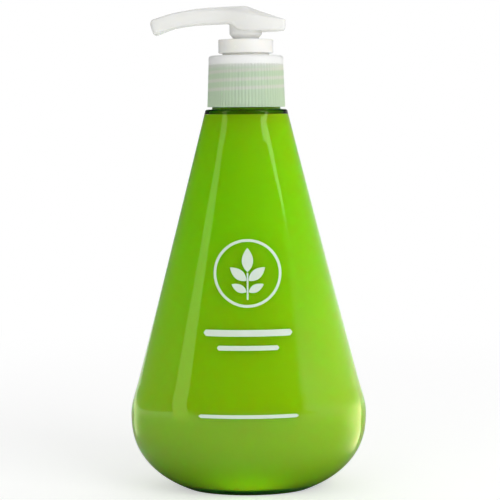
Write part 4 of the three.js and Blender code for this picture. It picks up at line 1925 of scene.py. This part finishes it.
        # The lit side of the room starts further round the higher it is.
        edge = add_node(
            tree,
            "ShaderNodeMapRange",
            Value=parts.outputs["Z"],
            From_Min=metres(90),
            From_Max=metres(500),
            To_Min=math.radians(41),
            To_Max=math.radians(56),
        )
        past = add_node(tree, "ShaderNodeMath", {"operation": "SUBTRACT"}, i0=azimuth, i1=edge.outputs[0])
        right = add_node(
            tree,
            "ShaderNodeMapRange",
            {"interpolation_type": "SMOOTHSTEP"},
            Value=past,
            From_Min=math.radians(-4),
            From_Max=math.radians(5),
            To_Max=1.0,
        )
        left = add_node(
            tree,
            "ShaderNodeMapRange",
            {"interpolation_type": "SMOOTHSTEP"},
            Value=azimuth,
            From_Min=math.radians(-45),
            From_Max=math.radians(-75),
            To_Max=0.3,
        )
        sides = add_node(tree, "ShaderNodeMath", {"operation": "ADD"}, i0=right.outputs[0], i1=left.outputs[0])
        low = add_node(
            tree, "ShaderNodeMapRange", Value=parts.outputs["Z"], From_Min=metres(480), From_Max=metres(60)
        )
        fall = add_node(tree, "ShaderNodeMath", {"operation": "POWER"}, i0=low.outputs[0], i1=1.5)
        wall_light = add_node(tree, "ShaderNodeMapRange", Value=fall, To_Min=0.04, To_Max=1.0)
        both = add_node(tree, "ShaderNodeMath", {"operation": "MULTIPLY"}, i0=wall_light.outputs[0], i1=sides)
        level = add_node(tree, "ShaderNodeMath", {"operation": "ADD"}, i0=both, i1=0.015)
        path = add_node(tree, "ShaderNodeLightPath")
        turn = add_node(
            tree, "ShaderNodeMapRange", Value=azimuth, From_Min=-math.pi, From_Max=math.pi
        )
        inside = add_node(tree, "ShaderNodeValToRGB", Fac=turn.outputs[0])
        stops = inside.color_ramp.elements
        brightest = max(level_there for _, level_there, _ in self.room_inside)
        for degrees, level_there, warmth in self.room_inside:
            stop = stops.new((degrees + 180) / 360)
            part = level_there / brightest
            stop.color = (part, part * (1 - warmth / 3), part * (1 - warmth), 1)
        stops.remove(stops[-1])
        stops.remove(stops[0])
        colour = add_node(tree, "ShaderNodeMix", {"data_type": "RGBA"}, i0=path.outputs["Is Transmission Ray"])
        tree.links.new(level.outputs[0], colour.inputs[6])
        tree.links.new(inside.outputs[0], colour.inputs[7])
        strength = add_node(
            tree, "ShaderNodeMapRange", Value=path.outputs["Is Transmission Ray"], To_Min=1.0, To_Max=brightest
        )
        dark = add_node(tree, "ShaderNodeEmission", Color=colour.outputs[2], Strength=strength)
        add_node(tree, "ShaderNodeOutputMaterial", Surface=dark.outputs[0])
        made.data.materials.append(cloth)
        only_mirrored(made)
        made.visible_transmission = True

    def table_edge(self) -> None:
        """Makes the dark cloth in front of the table, which starts softly where the pale paper ends."""
        steps, inner, outer, half = 32, 90.0, 1480.0, 60.0
        turns = [half * (2 * k / steps - 1) for k in range(steps + 1)]
        points = [self.ring_point(t, r, 1.0) for r in (inner, outer) for t in turns]
        faces = [[k, k + 1, steps + 2 + k, steps + 1 + k] for k in range(steps)]
        made = mesh_object("table_edge", points, faces)
        cloth = bpy.data.materials.new("front_cloth")
        cloth.use_nodes = True
        tree = cloth.node_tree
        tree.nodes.clear()
        place = add_node(tree, "ShaderNodeTexCoord").outputs["Object"]
        parts = add_node(tree, "ShaderNodeSeparateXYZ", Vector=place)
        away = add_node(tree, "ShaderNodeVectorMath", {"operation": "LENGTH"}, i0=place)
        far = add_node(
            tree,
            "ShaderNodeMapRange",
            {"interpolation_type": "SMOOTHSTEP"},
            Value=away.outputs["Value"],
            From_Min=metres(140),
            From_Max=metres(560),
        )
        ahead = add_node(tree, "ShaderNodeMath", {"operation": "DIVIDE"}, i0=parts.outputs["Y"], i1=away.outputs["Value"])
        front = add_node(
            tree,
            "ShaderNodeMapRange",
            {"interpolation_type": "SMOOTHSTEP"},
            Value=ahead,
            From_Min=-0.55,
            From_Max=-0.85,
        )
        share = add_node(tree, "ShaderNodeMath", {"operation": "MULTIPLY"}, i0=far.outputs[0], i1=front.outputs[0])
        clear = add_node(tree, "ShaderNodeBsdfTransparent")
        dark = add_node(tree, "ShaderNodeEmission", Color=(1, 1, 1, 1), Strength=0.03)
        both = add_node(tree, "ShaderNodeMixShader", i0=share, i1=clear.outputs[0], i2=dark.outputs[0])
        add_node(tree, "ShaderNodeOutputMaterial", Surface=both.outputs[0])
        made.data.materials.append(cloth)
        only_mirrored(made)

    def build(self) -> None:
        """Builds the whole studio."""
        self.camera()
        self.surroundings()
        self.floor()
        self.room()
        self.table_edge()
        left_strip = (
            ((-453, -213, 900), (-372, -334, 900)),
            ((-453, -213, 340), (-372, -334, 350)),
            ((-453, -211, 285), (-393, -310, 291)),
            ((-459, -198, 217), (-391, -312, 220)),
            ((-456, -205, 165), (-390, -312, 163)),
            ((-453, -212, 122), (-380, -325, 117)),
            ((-447, -225, 88), (-369, -338, 75)),
            ((-427, -261, 21), (-330, -351, 4)),
            ((-122, -80, 2), (-85, -98, 2)),
        )
        right_strip = (
            ((280, -414, 900), (396, -305, 900)),
            ((280, -414, 350), (396, -305, 340)),
            ((319, -385, 306), (412, -284, 299)),
            ((353, -354, 288), (420, -271, 284)),
            ((389, -314, 257), (432, -252, 254)),
            ((411, -284, 227), (439, -240, 226)),
            ((422, -268, 190), (430, -255, 190)),
        )
        right_rim = (
            ((499, 35, 74), (379, 340, 60)),
            ((499, -24, 66), (381, 324, 30)),
            ((494, -79, 48), (396, 305, 7)),
            ((254, -66, 2), (138, 74, 2)),
            ((131, -46, 2), (103, 45, 2)),
            ((82, -34, 2), (78, 31, 2)),
            ((57, -25, 2), (60, 17, 2)),
            ((43, -18, 2), (47, 6, 2)),
        )
        left_rim = (
            ((-293, 405, 30), (-443, 232, 65)),
            ((-284, 370, 2), (-464, 187, 44)),
            ((-163, 141, 2), (-423, 120, 6)),
            ((-104, 75, 2), (-144, 24, 2)),
            ((-84, 51, 2), (-105, 11, 2)),
            ((-69, 32, 2), (-79, -1, 2)),
        )
        heel_glow = (((-22, -25, 0.6), (22, -25, 0.6)), ((-22, -17, 0.6), (22, -17, 0.6)))
        for light in (
            Card("left_strip", left_strip, 1.7, "#f2ffb4"),
            Card("right_strip", right_strip, 3.1, "#f6ffc8", soft=(0.15, 0.15, 0.02, 0.25)),
            Card("right_rim", right_rim, 4.6, "#fff8c8", soft=(1.0, 0.05, 0.35, 0.2)),
            Card("left_rim", left_rim, 2.3, "#f4ffd0", soft=(0.05, 1.0, 0.3, 0.2)),
            Card("heel_glow", heel_glow, 2.9, "#c4ffa8", soft=(0.5, 0.5, 0.3, 0.3), inside=True),
            Lamp("key", 40, 0.6, 0.24, (0.4, 0.5), 2.55),
            Lamp("front_fill", -35, 0.6, 0.1, (0.3, 0.2), 1.6, aim=0.15),
            Lamp("right_fill", 110, 0.5, 0.05, (0.3, 0.1), 1.4, aim=0.03),
            Lamp("left_fill", -138, 0.6, 0.06, (0.25, 0.12), 2.0, aim=0.03),
        ):
            light.build()


# ---------------------------------------------------------------- scene


def main() -> None:
    """Builds the studio and every piece in order."""
    logging.basicConfig(level=logging.INFO, format="%(name)s: %(message)s")
    bpy.context.scene.view_settings.view_transform = "Standard"
    Studio().build()
    wall, gel, ink = BOTTLE_WALL.build(), GEL.build(), INK.build()
    finishes = {
        "ring": RING_PLASTIC.build(),
        "milky": HEAD_PLASTIC.build(),
        "inner": INNER_PLASTIC.build(),
        "seal": SEAL_PLASTIC.build(),
        "spring": SPRING_STEEL.build(),
        "ball": BALL_STEEL.build(),
    }
    Bottle().build(wall, gel, ink)
    Collar().build(COLLAR_PLASTIC.build(), COLLAR_THREAD.build())
    Pump().build(finishes)
    Head().build(finishes["milky"])


if __name__ == "__main__":
    main()
